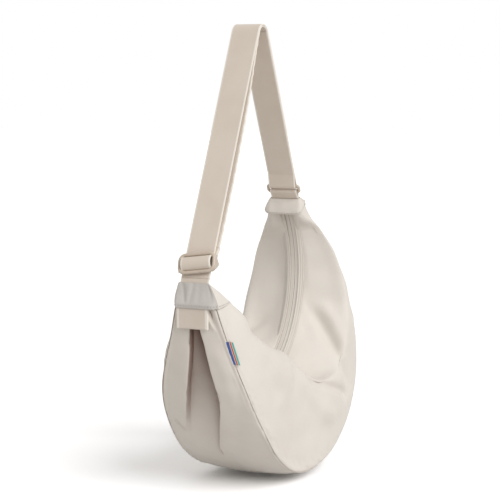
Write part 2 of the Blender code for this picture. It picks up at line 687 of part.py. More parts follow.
# Short webbing loop that holds the ring's lower bar to the far cap
foot_front = far_exit + far_side * (LAYER_PITCH / 2)
foot_back = far_exit - far_side * (LAYER_PITCH / 2)
_, _, front_normal = tangent(foot_front, 0.0, ring_low_bar, RING_WRAP, far_side)
_, _, back_normal = tangent(foot_back, 0.0, ring_low_bar, RING_WRAP, -far_side)
loop_path = [foot_front - far_up * WEBBING_TUCK, foot_front]
loop_path += arc(ring_low_bar, RING_WRAP, front_normal, back_normal, False, WRAP_STEPS)
loop_path += [foot_back, foot_back - far_up * WEBBING_TUCK]
ribbon("far_ring_loop", loop_path)


def leg_frame(centre, up, normal):
    """A frame on the strap: X out of its face, Y across it, Z up along it."""
    axes = Matrix(((normal.x, 0, normal.y), (0, 1, 0), (up.x, 0, up.y))).transposed().to_4x4()
    return Matrix.Translation((centre.x, 0, centre.y)) @ axes


# Tri-glide: a round-wire frame in front of the webbing and a bar behind it
face = WEBBING_THICKNESS / 2 + HARDWARE_GAP + GLIDE_WIRE_RADIUS
half_width = GLIDE_WIDTH / 2 - GLIDE_WIRE_RADIUS
frame_line = rounded_frame(half_width, GLIDE_HEIGHT / 2 - GLIDE_WIRE_RADIUS, GLIDE_CORNER,
                           GLIDE_CORNER_STEPS)
glide = tube("tri_glide", [(face, y, z) for y, z in frame_line], GLIDE_WIRE_RADIUS, True,
             HARDWARE_SIDES)
rear = -bar_depth
lug_depth = face - rear + GLIDE_BAR_RADIUS
lugs = [box("glide_lug", (lug_depth, 2 * GLIDE_WIRE_RADIUS, 2 * GLIDE_LUG_HALF),
            (face - lug_depth / 2, side * half_width, 0), Matrix.Identity(4)) for side in (-1, 1)]
rear_wire = tube("glide_bar", [(rear, -half_width, 0), (rear, half_width, 0)], GLIDE_BAR_RADIUS)
glide_pivot = bpy.data.objects.new("glide_line", None)
parts.objects.link(glide_pivot)
glide_pivot.matrix_world = (leg_frame(glide_centre, near_up, near_normal)
                            @ Matrix.Rotation(-GLIDE_ROLL, 4, "X"))
join(glide, [*lugs, rear_wire], glide_pivot)
finish(glide, PLASTIC, glide_pivot)

# Ring between the strap and the far cap, its origin on its upper bar
ring_line = rounded_frame(RING_WIDTH / 2 - RING_WIRE_RADIUS, RING_BAR_SPACING / 2, RING_CORNER,
                          RING_CORNER_STEPS)
ring = tube("far_ring", [(0, y, z - RING_BAR_SPACING / 2) for y, z in ring_line],
            RING_WIRE_RADIUS, True, HARDWARE_SIDES)
ring.matrix_world = leg_frame(ring_bar, far_up, far_side)
finish(ring, PLASTIC)
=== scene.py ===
"""Half moon crossbody bag in bone nylon, hung from the top of its webbing strap."""
import math
from functools import partial

import bpy
import numpy as np
from mathutils import Matrix, Vector


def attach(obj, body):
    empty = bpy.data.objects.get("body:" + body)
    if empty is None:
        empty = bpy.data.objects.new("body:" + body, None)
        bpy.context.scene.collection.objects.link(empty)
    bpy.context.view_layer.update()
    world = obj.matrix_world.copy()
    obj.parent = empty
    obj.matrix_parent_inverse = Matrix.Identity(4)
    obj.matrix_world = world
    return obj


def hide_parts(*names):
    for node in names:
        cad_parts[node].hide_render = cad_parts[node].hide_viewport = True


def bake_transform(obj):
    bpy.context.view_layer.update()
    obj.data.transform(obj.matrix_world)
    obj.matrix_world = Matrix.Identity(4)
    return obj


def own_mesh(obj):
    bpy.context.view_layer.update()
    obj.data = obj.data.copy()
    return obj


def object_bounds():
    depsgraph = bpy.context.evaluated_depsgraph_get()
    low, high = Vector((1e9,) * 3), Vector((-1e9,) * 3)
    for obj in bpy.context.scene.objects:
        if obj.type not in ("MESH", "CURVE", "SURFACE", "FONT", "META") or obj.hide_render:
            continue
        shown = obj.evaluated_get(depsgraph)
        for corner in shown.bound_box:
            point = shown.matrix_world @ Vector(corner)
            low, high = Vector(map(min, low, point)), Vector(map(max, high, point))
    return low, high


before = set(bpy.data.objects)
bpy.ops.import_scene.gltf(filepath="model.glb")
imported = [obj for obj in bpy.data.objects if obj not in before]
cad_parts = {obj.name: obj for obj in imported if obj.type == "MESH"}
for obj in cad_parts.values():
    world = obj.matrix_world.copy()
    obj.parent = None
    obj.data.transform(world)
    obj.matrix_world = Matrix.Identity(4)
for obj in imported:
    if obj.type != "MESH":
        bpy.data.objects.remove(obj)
cad_low, cad_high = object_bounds()

# Room: a plain pale floor just under the bag, white all round, and one wide soft light from
# the front panel's side. The camera stands two metres away, round towards the near end.
CAMERA_TARGET = Vector((0.0, 0.0, -0.2814))
CAMERA_AZIMUTH = math.radians(-65.0)
CAMERA_HEIGHT = math.radians(6.0)
CAMERA_DISTANCE = 2.1
CAMERA_LENS = 118.8
CAMERA_FILM = 36.0
CAMERA_SIGHT = 50.0
LIGHT_FROM = Vector((-0.33, -0.73, 0.60))
LIGHT_SPREAD = math.radians(40.0)
LIGHT_LEVEL = 0.55 * math.pi
ROOM_LIGHT = dict(Color=(1.0, 0.970, 0.925), Strength=0.53)
ROOM_SEEN = dict(Color=(1.0, 1.0, 1.0), Strength=1.0)
FLOOR_LIGHT = dict(Color=(0.75, 0.75, 0.75))
FLOOR_SEEN = dict(Color=(1.38, 1.40, 1.44))
FLOOR_DROP = 0.006
FLOOR_REACH = 12.0

scene = bpy.context.scene
scene.view_settings.view_transform = "Standard"


def in_scene(name, data, place=(0.0, 0.0, 0.0), back=None):
    """A new object in the scene, with the direction that its back is turned to."""
    made = bpy.data.objects.new(name, data)
    made.location = place
    if back is not None:
        made.rotation_euler = back.to_track_quat("Z", "Y").to_euler()
    scene.collection.objects.link(made)
    return made


def put(socket, value):
    """Set or link one input of a node. A colour is given as three numbers."""
    if isinstance(value, bpy.types.NodeSocket):
        socket.id_data.links.new(value, socket)
    else:
        socket.default_value = (*value, 1.0) if socket.type == "RGBA" else value


def dress(made, *given, **values):
    """Set a node's properties, and set or link its inputs, in their order or by name."""
    for key, value in values.items():
        if hasattr(made, key):
            setattr(made, key, value)
        else:
            put(made.inputs[key.replace("_", " ")], value)
    for socket, value in zip(made.inputs, given):
        put(socket, value)


def node(tree, kind, *given, out=0, **values):
    """A new shader node, given back as its output, or all its outputs where out is None."""
    made = tree.nodes.new("ShaderNode" + kind)
    dress(made, *given, **values)
    return made.outputs if out is None else made.outputs[out]


def maths(add, operation, *values):
    """A sum on shader values."""
    return add("Math", *values, operation=operation)


def lit_and_seen(owner, kind, lit, seen):
    """Nodes for a thing that lights the bag in one way and is seen in another."""
    owner.use_nodes = True
    owner.node_tree.nodes.clear()
    add = partial(node, owner.node_tree)
    rays = add("LightPath", out=None)
    eye = maths(add, "MAXIMUM", rays["Is Camera Ray"], rays["Is Glossy Ray"])
    eye = maths(add, "MAXIMUM", eye, rays["Is Transmission Ray"])
    shaders = [add(kind, **values) for values in (lit, seen)]
    add("OutputWorld" if kind == "Background" else "OutputMaterial",
        add("MixShader", eye, *shaders), out=None)


lens = bpy.data.cameras.new("camera")
lens.lens = CAMERA_LENS
lens.sensor_width = CAMERA_FILM
lens.clip_end = CAMERA_SIGHT
back = Vector((math.sin(CAMERA_AZIMUTH) * math.cos(CAMERA_HEIGHT),
               -math.cos(CAMERA_AZIMUTH) * math.cos(CAMERA_HEIGHT), math.sin(CAMERA_HEIGHT)))
scene.camera = in_scene("camera", lens, CAMERA_TARGET + back * CAMERA_DISTANCE, back)
light = bpy.data.lights.new("key_lamp", "SUN")
light.angle = LIGHT_SPREAD
light.energy = LIGHT_LEVEL
in_scene("key_lamp", light, LIGHT_FROM * 2, LIGHT_FROM)

scene.world = bpy.data.worlds.new("room")
lit_and_seen(scene.world, "Background", ROOM_LIGHT, ROOM_SEEN)
pale = bpy.data.materials.new("pale_floor")
lit_and_seen(pale, "BsdfDiffuse", FLOOR_LIGHT, FLOOR_SEEN)
floor_mesh = bpy.data.meshes.new("floor")
floor_mesh.from_pydata([(x * FLOOR_REACH, y * FLOOR_REACH, cad_low.z - FLOOR_DROP)
                        for x, y in ((-1, -1), (1, -1), (1, 1), (-1, 1))], [], [(0, 1, 2, 3)])
floor_mesh.materials.append(pale)
in_scene("floor", floor_mesh)

# Gusset: the long strip of nylon between the two panels, cut on the curve and sewn to
# both. Below the near cap it carries a deep inverted pleat that opens as it runs down
# and flattens out towards the bottom of the bag.
ZIP_CENTRE = np.array((0.006, -0.320))
TILT = math.radians(17.7)
ZIP_RADIUS = 0.136
# Angle about the zip's centre, then depth beyond the zip, half width at the seams, rise of
# the crest above the zip and bulge of the panels, in millimetres.
BODY_TABLE = np.array((
    (167, 30.132, 24.5, 2.1, 0), (180, 30.38, 35, 14.7, 2.8), (193, 37.2, 48.3, 25.2, 5.6),
    (206, 48.36, 60.2, 31.5, 7), (223, 65.1, 68.25, 36.54, 7), (238, 88.04, 70, 39.9, 7),
    (254, 110.36, 70, 42, 7), (268, 119.04, 70, 42, 7), (281, 122.76, 70, 42, 7),
    (294, 120.28, 69.3, 42, 7), (306, 107.88, 67.2, 41.16, 7), (317, 84.32, 64.4, 39.9, 7),
    (331, 51.088, 57.4, 36.96, 7), (350, 23.808, 43.4, 31.08, 6.3),
    (366.5, 13.392, 29.6, 17.5, 2.8), (374.5, 11.656, 24.6, 10, 0), (381, 11.2, 22.6, 8.5, 0)))
BODY_TABLE[:, 1:] /= 1000.0
NEAR_ANGLE = 167.0
FAR_ANGLE = 374.5
BODY_END = 380.0
body_angles = np.linspace(NEAR_ANGLE, BODY_END, 300)
ZIP_REACH = 0.012
PANEL_BULGE = 0.007
GUSSET_CROWN = 0.006
GUSSET_TRIM = 0.0016
NYLON_THICKNESS = 0.0006
# Pleat: angle, right lip, foot and top of the left fold (shares of the half width), then
# depth and how far the right and left lips stand up, in millimetres.
PLEAT_TABLE = np.array((
    (165, -0.10, 0.09, 0.12, 5, 0.6, 0.6), (170, -0.16, 0.13, 0.155, 8, 1, 0.8),
    (176.5, -0.225, 0.165, 0.185, 11.5, 1.6, 1), (183, -0.31, 0.20, 0.22, 14, 2, 1.2),
    (190, -0.33, 0.235, 0.26, 16.5, 2.3, 1.4), (198, -0.33, 0.30, 0.33, 18.5, 2.5, 1.5),
    (205, -0.345, 0.355, 0.40, 18, 2.8, 1.5), (212, -0.26, 0.43, 0.50, 14, 2.8, 1.4),
    (220, -0.10, 0.53, 0.64, 8, 2.3, 1), (226, 0.03, 0.62, 0.76, 3.6, 1.6, 0.5),
    (232, 0.14, 0.68, 0.80, 0.6, 0.7, 0.2), (238, 0.15, 0.68, 0.80, 0, 0, 0),
    (300, -0.20, 0.20, 0.40, 0, 0, 0), (382, -0.20, 0.20, 0.40, 0, 0, 0)))
PLEAT_TABLE[:, 4:] /= 1000.0
# The seam at the gusset's edge: distance in from the edge and height above the face.
SEAM_RIDGE = ((0.0004, -0.0050), (0.0002, -0.0025), (0.0, -0.0010), (0.0004, 0.0002),
              (0.0011, 0.0008), (0.0021, 0.0009), (0.0031, 0.0006), (0.0044, 0.0001))
SEAM_RIDGE_END = 0.0056
# Ripples: height, wavelength and seed of each.
GUSSET_RIPPLES = ((0.0008, 0.085, 3), (0.0003, 0.030, 4))
# Folds: a line of (angle, share of the half width), width, height, taper and lean.
GUSSET_FOLDS = (
    (((166, -0.80), (171, -0.82), (177, -0.92)), 0.0034, -0.0046, 0.3, 0.4),
    (((217, 0.88), (221, 0.76), (226, 0.66)), 0.0028, -0.0018, 0.35, 0.6),
    (((180, -0.62), (196, -0.70), (214, -0.62)), 0.0090, 0.0016),
    (((228, 0.10), (240, 0.02), (252, 0.10)), 0.0120, -0.0016))


def rounded(places, knots, values, reach=6):
    """A row of values read at some places and rounded over their neighbours."""
    kernel = np.hanning(2 * reach + 3)[1:-1]
    padded = np.pad(np.interp(places, knots, values), reach, mode="edge")
    return np.convolve(padded, kernel / kernel.sum(), mode="valid")


# How much wider the bag hangs at each seam than its plain half width, in millimetres.
EVERY_ANGLE = np.arange(155.0, 392.0)
FRONT_WIDER = rounded(EVERY_ANGLE, (167, 173, 180, 193, 206, 225, 240, 255, 275),
                      (7.6, 7.4, 6.4, 2.5, -0.5, -4.5, -5.5, -4.0, 0.0), 5) / 1000.0
BACK_WIDER = rounded(EVERY_ANGLE, (300, 318, 335, 350, 366, 382),
                     (0.0, 4.0, 6.0, 7.0, 6.5, 4.0), 5) / 1000.0


def hung(angle, y):
    """Distances across the bag as it hangs: the zip stays put, each seam moves out or in."""
    half = np.interp(angle, BODY_TABLE[:, 0], BODY_TABLE[:, 2])
    wider = np.where(np.less(y, 0), np.interp(angle, EVERY_ANGLE, FRONT_WIDER),
                     np.interp(angle, EVERY_ANGLE, BACK_WIDER))
    return y + np.sign(y) * wider * np.maximum(np.abs(y) - ZIP_REACH, 0) / (half - ZIP_REACH)


def body_at(angle):
    """Outer radius, seam half width, crest rise and bulge at angles in degrees."""
    angle = np.asarray(angle, float)
    last = len(BODY_TABLE) - 1
    index = np.clip(np.searchsorted(BODY_TABLE[:, 0], angle, "right") - 1, 0, last - 1)
    before, low, high, after = (BODY_TABLE[np.clip(index + step, 0, last)]
                                for step in (-1, 0, 1, 2))
    span = high[..., :1] - low[..., :1]
    t = (angle[..., None] - low[..., :1]) / span
    slope_low = (high - before) / (high[..., :1] - before[..., :1]) * span
    slope_high = (after - low) / (after[..., :1] - low[..., :1]) * span
    value = ((2 * t**3 - 3 * t**2 + 1) * low + (t**3 - 2 * t**2 + t) * slope_low
             + (3 * t**2 - 2 * t**3) * high + (t**3 - t**2) * slope_high)
    return ZIP_RADIUS + value[..., 1], value[..., 2], value[..., 3], value[..., 4]


def bag_point(angle, radius, y):
    """World points from angles about the zip's centre, radii and distances across."""
    turn = np.radians(angle) + TILT
    x = ZIP_CENTRE[0] + radius * np.cos(turn)
    z = ZIP_CENTRE[1] + radius * np.sin(turn)
    return np.stack(np.broadcast_arrays(x, hung(angle, y), z), axis=-1)


def side_point(angle, radius):
    """A place in the bag's middle plane as (x, z)."""
    return bag_point(angle, radius, 0.0)[[0, 2]]


def crowned(outer, bulge, share):
    """The smooth gusset's radius at a share of its half width."""
    return outer + GUSSET_CROWN * bulge / PANEL_BULGE * (1 - np.minimum(np.square(share), 1.0))


def eased(value, low, high):
    """0 below low, 1 above high and a smooth step between."""
    t = np.clip((value - low) / (high - low), 0.0, 1.0)
    return t * t * (3 - 2 * t)


def bell(value, width):
    """1 at nought, falling off softly on both sides."""
    return np.exp(-(value / width)**2)


def unit(vectors):
    """Vectors made one long."""
    return vectors / np.maximum(np.linalg.norm(vectors, axis=-1, keepdims=True), 1e-12)


def walk(points):
    """How far along its line each of some points is."""
    steps = np.linalg.norm(np.diff(points, axis=-2), axis=-1)
    return np.concatenate([0 * steps[..., :1], np.cumsum(steps, axis=-1)], axis=-1)


def face_normals(grid, wrap=False):
    """Normals of a grid of points, pointing out of its face."""
    if wrap:
        across = (np.roll(grid, -1, axis=1) - np.roll(grid, 1, axis=1)) / 2
    else:
        across = np.gradient(grid, axis=1)
    return unit(np.cross(across, np.gradient(grid, axis=0)))


def finished(name, mesh, paint, body=None, slot=None, cad=None):
    """A smooth object of one material, on its body, in the place of its CAD node. Its slot
    argument is not used."""
    mesh.materials.clear()
    mesh.materials.append(paint)
    mesh.shade_smooth()
    made = in_scene(name, mesh)
    if body:
        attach(made, body)
    if cad:
        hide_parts(cad)
    return made


def build_mesh(name, points, faces, paint, uv=None, **facts):
    """A finished object from points and faces."""
    mesh = bpy.data.meshes.new(name)
    faces = faces.tolist() if isinstance(faces, np.ndarray) else faces
    mesh.from_pydata(np.asarray(points).reshape(-1, 3).tolist(), [], faces)
    if uv is not None:
        layer = mesh.uv_layers.new(name="cloth")
        corner = np.zeros(len(mesh.loops), np.int32)
        mesh.loops.foreach_get("vertex_index", corner)
        layer.data.foreach_set("uv", uv.reshape(-1, 2)[corner].astype(np.float32).ravel())
    return finished(name, mesh, paint, **facts)


def grid_faces(rows, columns, wrap=False, start=0):
    """Quads over a grid of points numbered row by row."""
    i = np.arange(rows - 1)[:, None]
    j = np.arange(columns if wrap else columns - 1)[None, :]
    k = (j + 1) % columns
    corners = (i * columns + j, i * columns + k, (i + 1) * columns + k, (i + 1) * columns + j)
    return np.stack(np.broadcast_arrays(*corners), -1).reshape(-1, 4) + start


def cloth(name, grid, paint, thickness=NYLON_THICKNESS, wrap=False, flip=False, body="bag",
          **facts):
    """A closed layer of cloth whose outer face is the grid and whose inner one lies behind."""
    rows, columns = grid.shape[:2]
    count, last = rows * columns, (rows - 1) * columns
    outward = face_normals(grid, wrap) * (-1 if flip else 1)
    ring = np.arange(columns if wrap else columns - 1)
    following = (ring + 1) % columns
    edges = [(following, ring), (ring + last, following + last)]
    if not wrap:
        side = np.arange(rows - 1) * columns
        edges += [(side, side + columns), (side + 2 * columns - 1, side + columns - 1)]
    faces = np.concatenate([
        grid_faces(rows, columns, wrap), grid_faces(rows, columns, wrap, count)[:, ::-1],
        *[np.stack((a, b, b + count, a + count), -1) for a, b in edges]])
    across = walk(grid)
    across -= across[:, columns // 2:columns // 2 + 1]
    down = walk(grid[:, columns // 2])[:, None] + 0 * across
    return build_mesh(name, np.stack((grid, grid - outward * thickness)),
                      faces[:, ::-1] if flip else faces, paint,
                      uv=np.stack([np.stack((across, down), -1)] * 2), body=body, **facts)


def ripple(points, wavelength, seed, count=7):
    """A slow random undulation between about -1 and 1, the same every time."""
    chance = np.random.default_rng(seed)
    total = 0.0
    for _ in range(count):
        wave = unit(chance.normal(size=3)) * 2 * math.pi / (wavelength * chance.uniform(0.7, 1.5))
        total = total + np.sin(points @ wave + chance.uniform(0, 2 * math.pi))
    return total / math.sqrt(count)


def ripples(points, table):
    """Undulations added up."""
    return sum(height * ripple(points, wavelength, seed) for height, wavelength, seed in table)


def fold_along(points, path, width, height, taper=0.25, lean=0.0):
    """Height of a soft fold that follows a line of points and fades at both its ends.
    With lean, one side of it carries a smaller fold of the opposite sign."""
    path = np.asarray(path)
    walked = walk(path)
    nearest, where = np.full(points.shape[:-1], 1e9), 0.0
    for origin, piece, first, last in zip(path, np.diff(path, axis=0), walked, walked[1:]):
        share = np.clip(((points - origin) @ piece) / (last - first)**2, 0.0, 1.0)
        away = np.linalg.norm(points - (origin + share[..., None] * piece), axis=-1)
        closer = away < nearest
        nearest = np.where(closer, away, nearest)
        where = np.where(closer, (first + share * (last - first)) / walked[-1], where)
    shape = bell(nearest, width)
    if lean:
        shape = shape - lean * bell(nearest - 1.7 * width, width)
    return height * eased(where, 0.0, taper) * eased(1 - where, 0.0, taper) * shape


def folds(points, table, place):
    """Height of all the folds in a table, whose lines run over places on a face."""
    return sum(fold_along(points, [place(*where) for where in line], *facts)
               for line, *facts in table)


def surface(name):
    """A new material, with what adds a node to it and its shader."""
    made = bpy.data.materials.new(name)
    made.use_nodes = True
    return made, partial(node, made.node_tree), made.node_tree.nodes["Principled BSDF"]


def noise(add, scale, detail):
    """Random mottling on the piece."""
    return add("TexNoise", Vector=add("TexCoord", out="Object"), Scale=scale, Detail=detail)


def ranged(add, value, low, high):
    """A value turned into a share, 0 at low and 1 at high."""
    return add("MapRange", Value=value, From_Min=low, From_Max=high)


def mixed(add, first, second, share, how="MIX"):
    """Two colours mixed or multiplied by a share."""
    return add("Mix", data_type="RGBA", blend_type=how, A=first, B=second, Factor=share,
               out="Result")


def bumps(add, height, strength, distance, **over):
    """A fine relief."""
    return add("Bump", Height=height, Strength=strength, Distance=distance, **over)


def nylon(name, colour, shade, weave=0.00045, strength=0.25, roughness=0.62,
          painted_fold_shade=(0.66, 0.57, 0.51), reach=0.03, own_folds=False):
    """Plain-woven nylon: fine over-and-under threads, faint mottling, a soft sheen and painted
    shade in its folds and hollows.
    """
    made, add, shader = surface(name)
    threads = add("VectorMath", add("UVMap", uv_map="cloth"), operation="SCALE", Scale=1.0 / weave)
    over = maths(add, "MULTIPLY", *[maths(add, "SINE", maths(add, "MULTIPLY", axis, math.pi))
                                    for axis in add("SeparateXYZ", threads, out=None)[:2]])
    relief = bumps(add, maths(add, "MULTIPLY_ADD", over, 0.5, noise(add, 900.0, 2.0)),
                   strength, 0.00012)
    # Painted shade: creases, recesses and hollows are darkened towards a warm brown by ambient
    # occlusion.
    hollow = add("AmbientOcclusion", samples=8, only_local=own_folds, Distance=reach, out="AO")
    open_at, deep_at = (0.92, 0.32) if own_folds else (0.85, 0.25)
    tone = mixed(add, colour, shade, ranged(add, noise(add, 14.0, 4.0), 0.35, 0.75))
    tone = mixed(add, tone, (0.93, 0.92, 0.91), ranged(add, over, 0.2, -0.6), "MULTIPLY")
    tone = mixed(add, tone, painted_fold_shade, ranged(add, hollow, open_at, deep_at), "MULTIPLY")
    dress(shader, Roughness=roughness, Sheen_Weight=0.18, Sheen_Roughness=0.45,
          Specular_IOR_Level=0.35, Base_Color=tone,
          Normal=bumps(add, noise(add, 38.0, 3.0), 0.10, 0.0012, Normal=relief))
    return made


def gusset_point(angle, share):
    """A place on the smooth gusset: an angle and a share of its half width."""
    outer, half, _, bulge = body_at(angle)
    return bag_point(np.asarray(angle, float), crowned(outer, bulge, share),
                     share * (half - GUSSET_TRIM))


def gusset_grid():
    """The gusset's outer face: seam ridge, right flap, lip, pleat, left fold, left flap."""
    edge = body_half - GUSSET_TRIM
    right, foot, top = lip_right * edge, fold_foot * edge, fold_top * edge
    depth, up_right, up_left = pleat_depth, raise_right, raise_left
    tuck = np.clip(depth / 0.003, 0.0, 1.0)
    places = [(away - edge, height) for away, height in SEAM_RIDGE]
    places += [(y, up_right * eased(y, right - 0.030, right - 0.004))
               for y in np.linspace(SEAM_RIDGE_END - edge, right - 0.0024, 40)]
    places += [(right - 0.0014, up_right - 0.0001 * tuck),
               (right - 0.0006, up_right - 0.0005 * tuck),
               (right - 0.0001, up_right - 0.0013 * tuck),
               (right + 0.0003 - 0.0006 * tuck, (up_right - 0.0024 * tuck) * (0.3 + 0.7 * tuck)),
               (right + 0.0007 - 0.0034 * tuck, -0.55 * depth),
               (right + 0.0011 - 0.0044 * tuck, -1.00 * depth),
               (right + 0.0015 - 0.0036 * tuck, -1.35 * depth)]
    start = right + 0.0020 - 0.0022 * tuck
    places += [(start + (foot - start) * share, -depth * (1.45 - 0.80 * share**1.2))
               for share in np.linspace(0.0, 1.0, 18)]
    places += [(foot + (top - foot) * share,
                -0.65 * depth + (0.65 * depth + up_left) * eased(share, -0.25, 1.0))
               for share in np.linspace(0.1, 1.0, 9)]
    places += [(y, up_left * eased(top + 0.024 - y, 0.0, 0.022))
               for y in np.linspace(top + 0.0016, edge - SEAM_RIDGE_END, 36)]
    places += [(edge - away, height) for away, height in SEAM_RIDGE[::-1]]
    across, height = (np.stack([place[which] + 0 * edge for place in places], axis=1)
                      for which in (0, 1))
    smooth = crowned(body_outer[:, None], body_bulge[:, None], across / edge[:, None])
    return bag_point(body_angles[:, None], smooth + height, across)


BONE = nylon("bone_nylon", (0.785, 0.745, 0.690), (0.755, 0.706, 0.652))
# The gusset's copy of the bone nylon carries far deeper painted shade, dark brown, in its own
# folds: it paints the pleat's recess dark.
GUSSET_SHADED_NYLON = nylon("gusset_shaded_nylon", (0.785, 0.740, 0.680), (0.755, 0.700, 0.640),
                     painted_fold_shade=(0.20, 0.07, 0.03), reach=0.06, own_folds=True)
body_outer, body_half, _, body_bulge = body_at(body_angles)
lip_right, fold_foot, fold_top, pleat_depth, raise_right, raise_left = (
    rounded(body_angles, PLEAT_TABLE[:, 0], column) for column in PLEAT_TABLE[:, 1:].T)
grid = gusset_grid()
share = np.abs(grid[..., 1]) / body_half[:, None]
lift = ripples(grid, GUSSET_RIPPLES) + folds(grid, GUSSET_FOLDS, gusset_point)
pucker = eased(share, 0.80, 0.93) * 0.00025 * ripple(grid, 0.011, 5)
grid += face_normals(grid) * (lift * (1.0 - eased(share, 0.86, 0.95)) + pucker)[..., None]
cloth("gusset_strip", grid, GUSSET_SHADED_NYLON, slot="bone_nylon", cad="gusset_panel")

# Front and back panels: a crescent of nylon each, turned under along the zip, rising to a
# soft crest and coming down past the widest line to the seam with the gusset. The front
# one sags into a long crease and hangs in folds below the far end.
SIDES = (("front", -1), ("back", 1))
PANEL_KNOTS = ((0.00, 0.00), (0.30, 0.62), (0.66, 1.00), (0.93, 0.55), (1.00, -0.22),
               (0.97, -0.62))
ZIP_SLOT_HALF = 0.007
ZIP_STITCH_LINE = 0.0083
STITCH_DENT = 0.0007
STITCH_DENT_WIDTH = 0.0009
# How far each knot falls from the zip's level, at most by a share of the bag's depth.
FRONT_FALLS = (0.0, 0.016, 0.033, 0.042, 0.056, 0.100)
BACK_FALLS = (0.0, 0.007, 0.007, 0.006, -0.050, -0.050)
FALL_LIMITS = (1.0, 0.30, 0.66, 0.88, 0.93, 0.97)
# The crease as shares of the panel and angles, and the crest's extra height by angle.
CREASE = ((0.0, 0.30, 0.38, 0.45, 0.52, 0.67, 0.79, 1.0),
          (243.0, 244.0, 246.0, 249.0, 252.0, 255.0, 257.0, 260.0))
CREST_RAISES = ((167.0, 171.0, 177.0, 183.0, 190.0, 200.0, 215.0, 230.0, 252.0),
                (0.0010, 0.0060, 0.0105, 0.0085, 0.0045, 0.0050, 0.0085, 0.0090, 0.0))
SEAM_RUN = 0.38
SEAM_STOP = 0.0026
ZIP_TURN = ((0.00128, 0.0115), (0.00128, 0.0090), (0.00128, 0.0064), (0.00118, 0.0059),
            (0.00090, 0.00565), (0.00060, 0.0056), (0.00025, 0.0057), (0.00004, 0.0060),
            (0.0, 0.0064))
SEAM_TURN = ((-0.0013, 0.00005), (-0.0006, -0.00005), (-0.0001, -0.0003), (0.0001, -0.0007),
             (-0.0001, -0.0011), (-0.0008, -0.0013), (-0.0025, -0.0013), (-0.0050, -0.0013))
PANEL_RIPPLES = {-1: ((0.0014, 0.11, 11), (0.0006, 0.040, 12)),
                 1: ((0.0013, 0.11, 21), (0.0005, 0.040, 22))}
PANEL_FOLDS = {
    -1: ((((247, 0.41), (255, 0.446), (266, 0.496), (277, 0.572), (284, 0.672), (290, 0.79),
           (293, 0.90)), 0.0065, -0.0052, 0.12),
         (((240, 0.48), (251, 0.55), (260, 0.62), (268, 0.70), (276, 0.80), (280, 0.88)),
          0.0130, 0.0052),
         (((328, 0.05), (322, 0.13), (315, 0.25), (307.5, 0.345), (302, 0.45), (299, 0.59),
           (297.5, 0.78), (297, 0.96)), 0.0090, -0.0055),
         (((326, 0.22), (319, 0.32), (312.5, 0.42), (308, 0.55), (306, 0.74)), 0.0100, 0.0030),
         (((319, 0.05), (313, 0.11), (307, 0.15)), 0.0090, -0.0014),
         (((200, 0.55), (212, 0.62), (228, 0.70)), 0.0130, -0.0020)),
    1: ((((248, 0.42), (262, 0.55), (276, 0.66), (286, 0.80)), 0.0060, -0.0026, 0.3, 0.3),
        (((318, 0.20), (306, 0.38), (300, 0.56), (303, 0.78)), 0.0085, -0.0034),
        (((222, 0.40), (232, 0.56), (238, 0.74)), 0.0070, -0.0022))}


def panel_point(angle, share, side):
    """Places on a panel's smooth face: share 0 is the zip edge, 1 the seam. Both fall away
    from the zip towards the far end, the front one beyond its crease."""
    angle, share = np.broadcast_arrays(np.asarray(angle, float), np.asarray(share, float))
    outer, half, rise, bulge = body_at(angle)
    if side < 0:
        sunk = eased(angle - np.interp(share, *CREASE), 0, 46) * (1 - eased(angle, 364, 381))
    else:
        sunk = eased(angle, 262, 312) * (1 - eased(angle, 358, 377))
    wide, depth = half + bulge, outer - ZIP_RADIUS
    knots = []
    falls = FRONT_FALLS if side < 0 else BACK_FALLS
    for (away, height), fall, limit in zip(PANEL_KNOTS, falls, FALL_LIMITS):
        full = ZIP_RADIUS - height * (rise if height > 0 else depth)
        fallen = ZIP_RADIUS + limit * depth * (1 - np.exp(-fall / (limit * depth)))
        fallen = fallen if height > 0 else np.maximum(fallen, full)
        knots.append((full + sunk * (fallen - full),
                      ZIP_SLOT_HALF + away * (wide - ZIP_SLOT_HALF)))
    knots = np.stack([np.stack(knot, -1) for knot in knots + [(outer, half)]], axis=-2)
    last = len(PANEL_KNOTS)
    index = np.clip((share * last).astype(int), 0, last - 1)
    t = (share * last - index)[..., None]
    p0, p1, p2, p3 = (np.take_along_axis(
        knots, np.clip(index + step, 0, last)[..., None, None], axis=-2)[..., 0, :]
        for step in (-1, 0, 1, 2))
    place = 0.5 * (2 * p1 + (p2 - p0) * t + (2 * p0 - 5 * p1 + 4 * p2 - p3) * t**2
                   + (3 * p1 - p0 - 3 * p2 + p3) * t**3)
    return bag_point(angle, place[..., 0], side * place[..., 1])


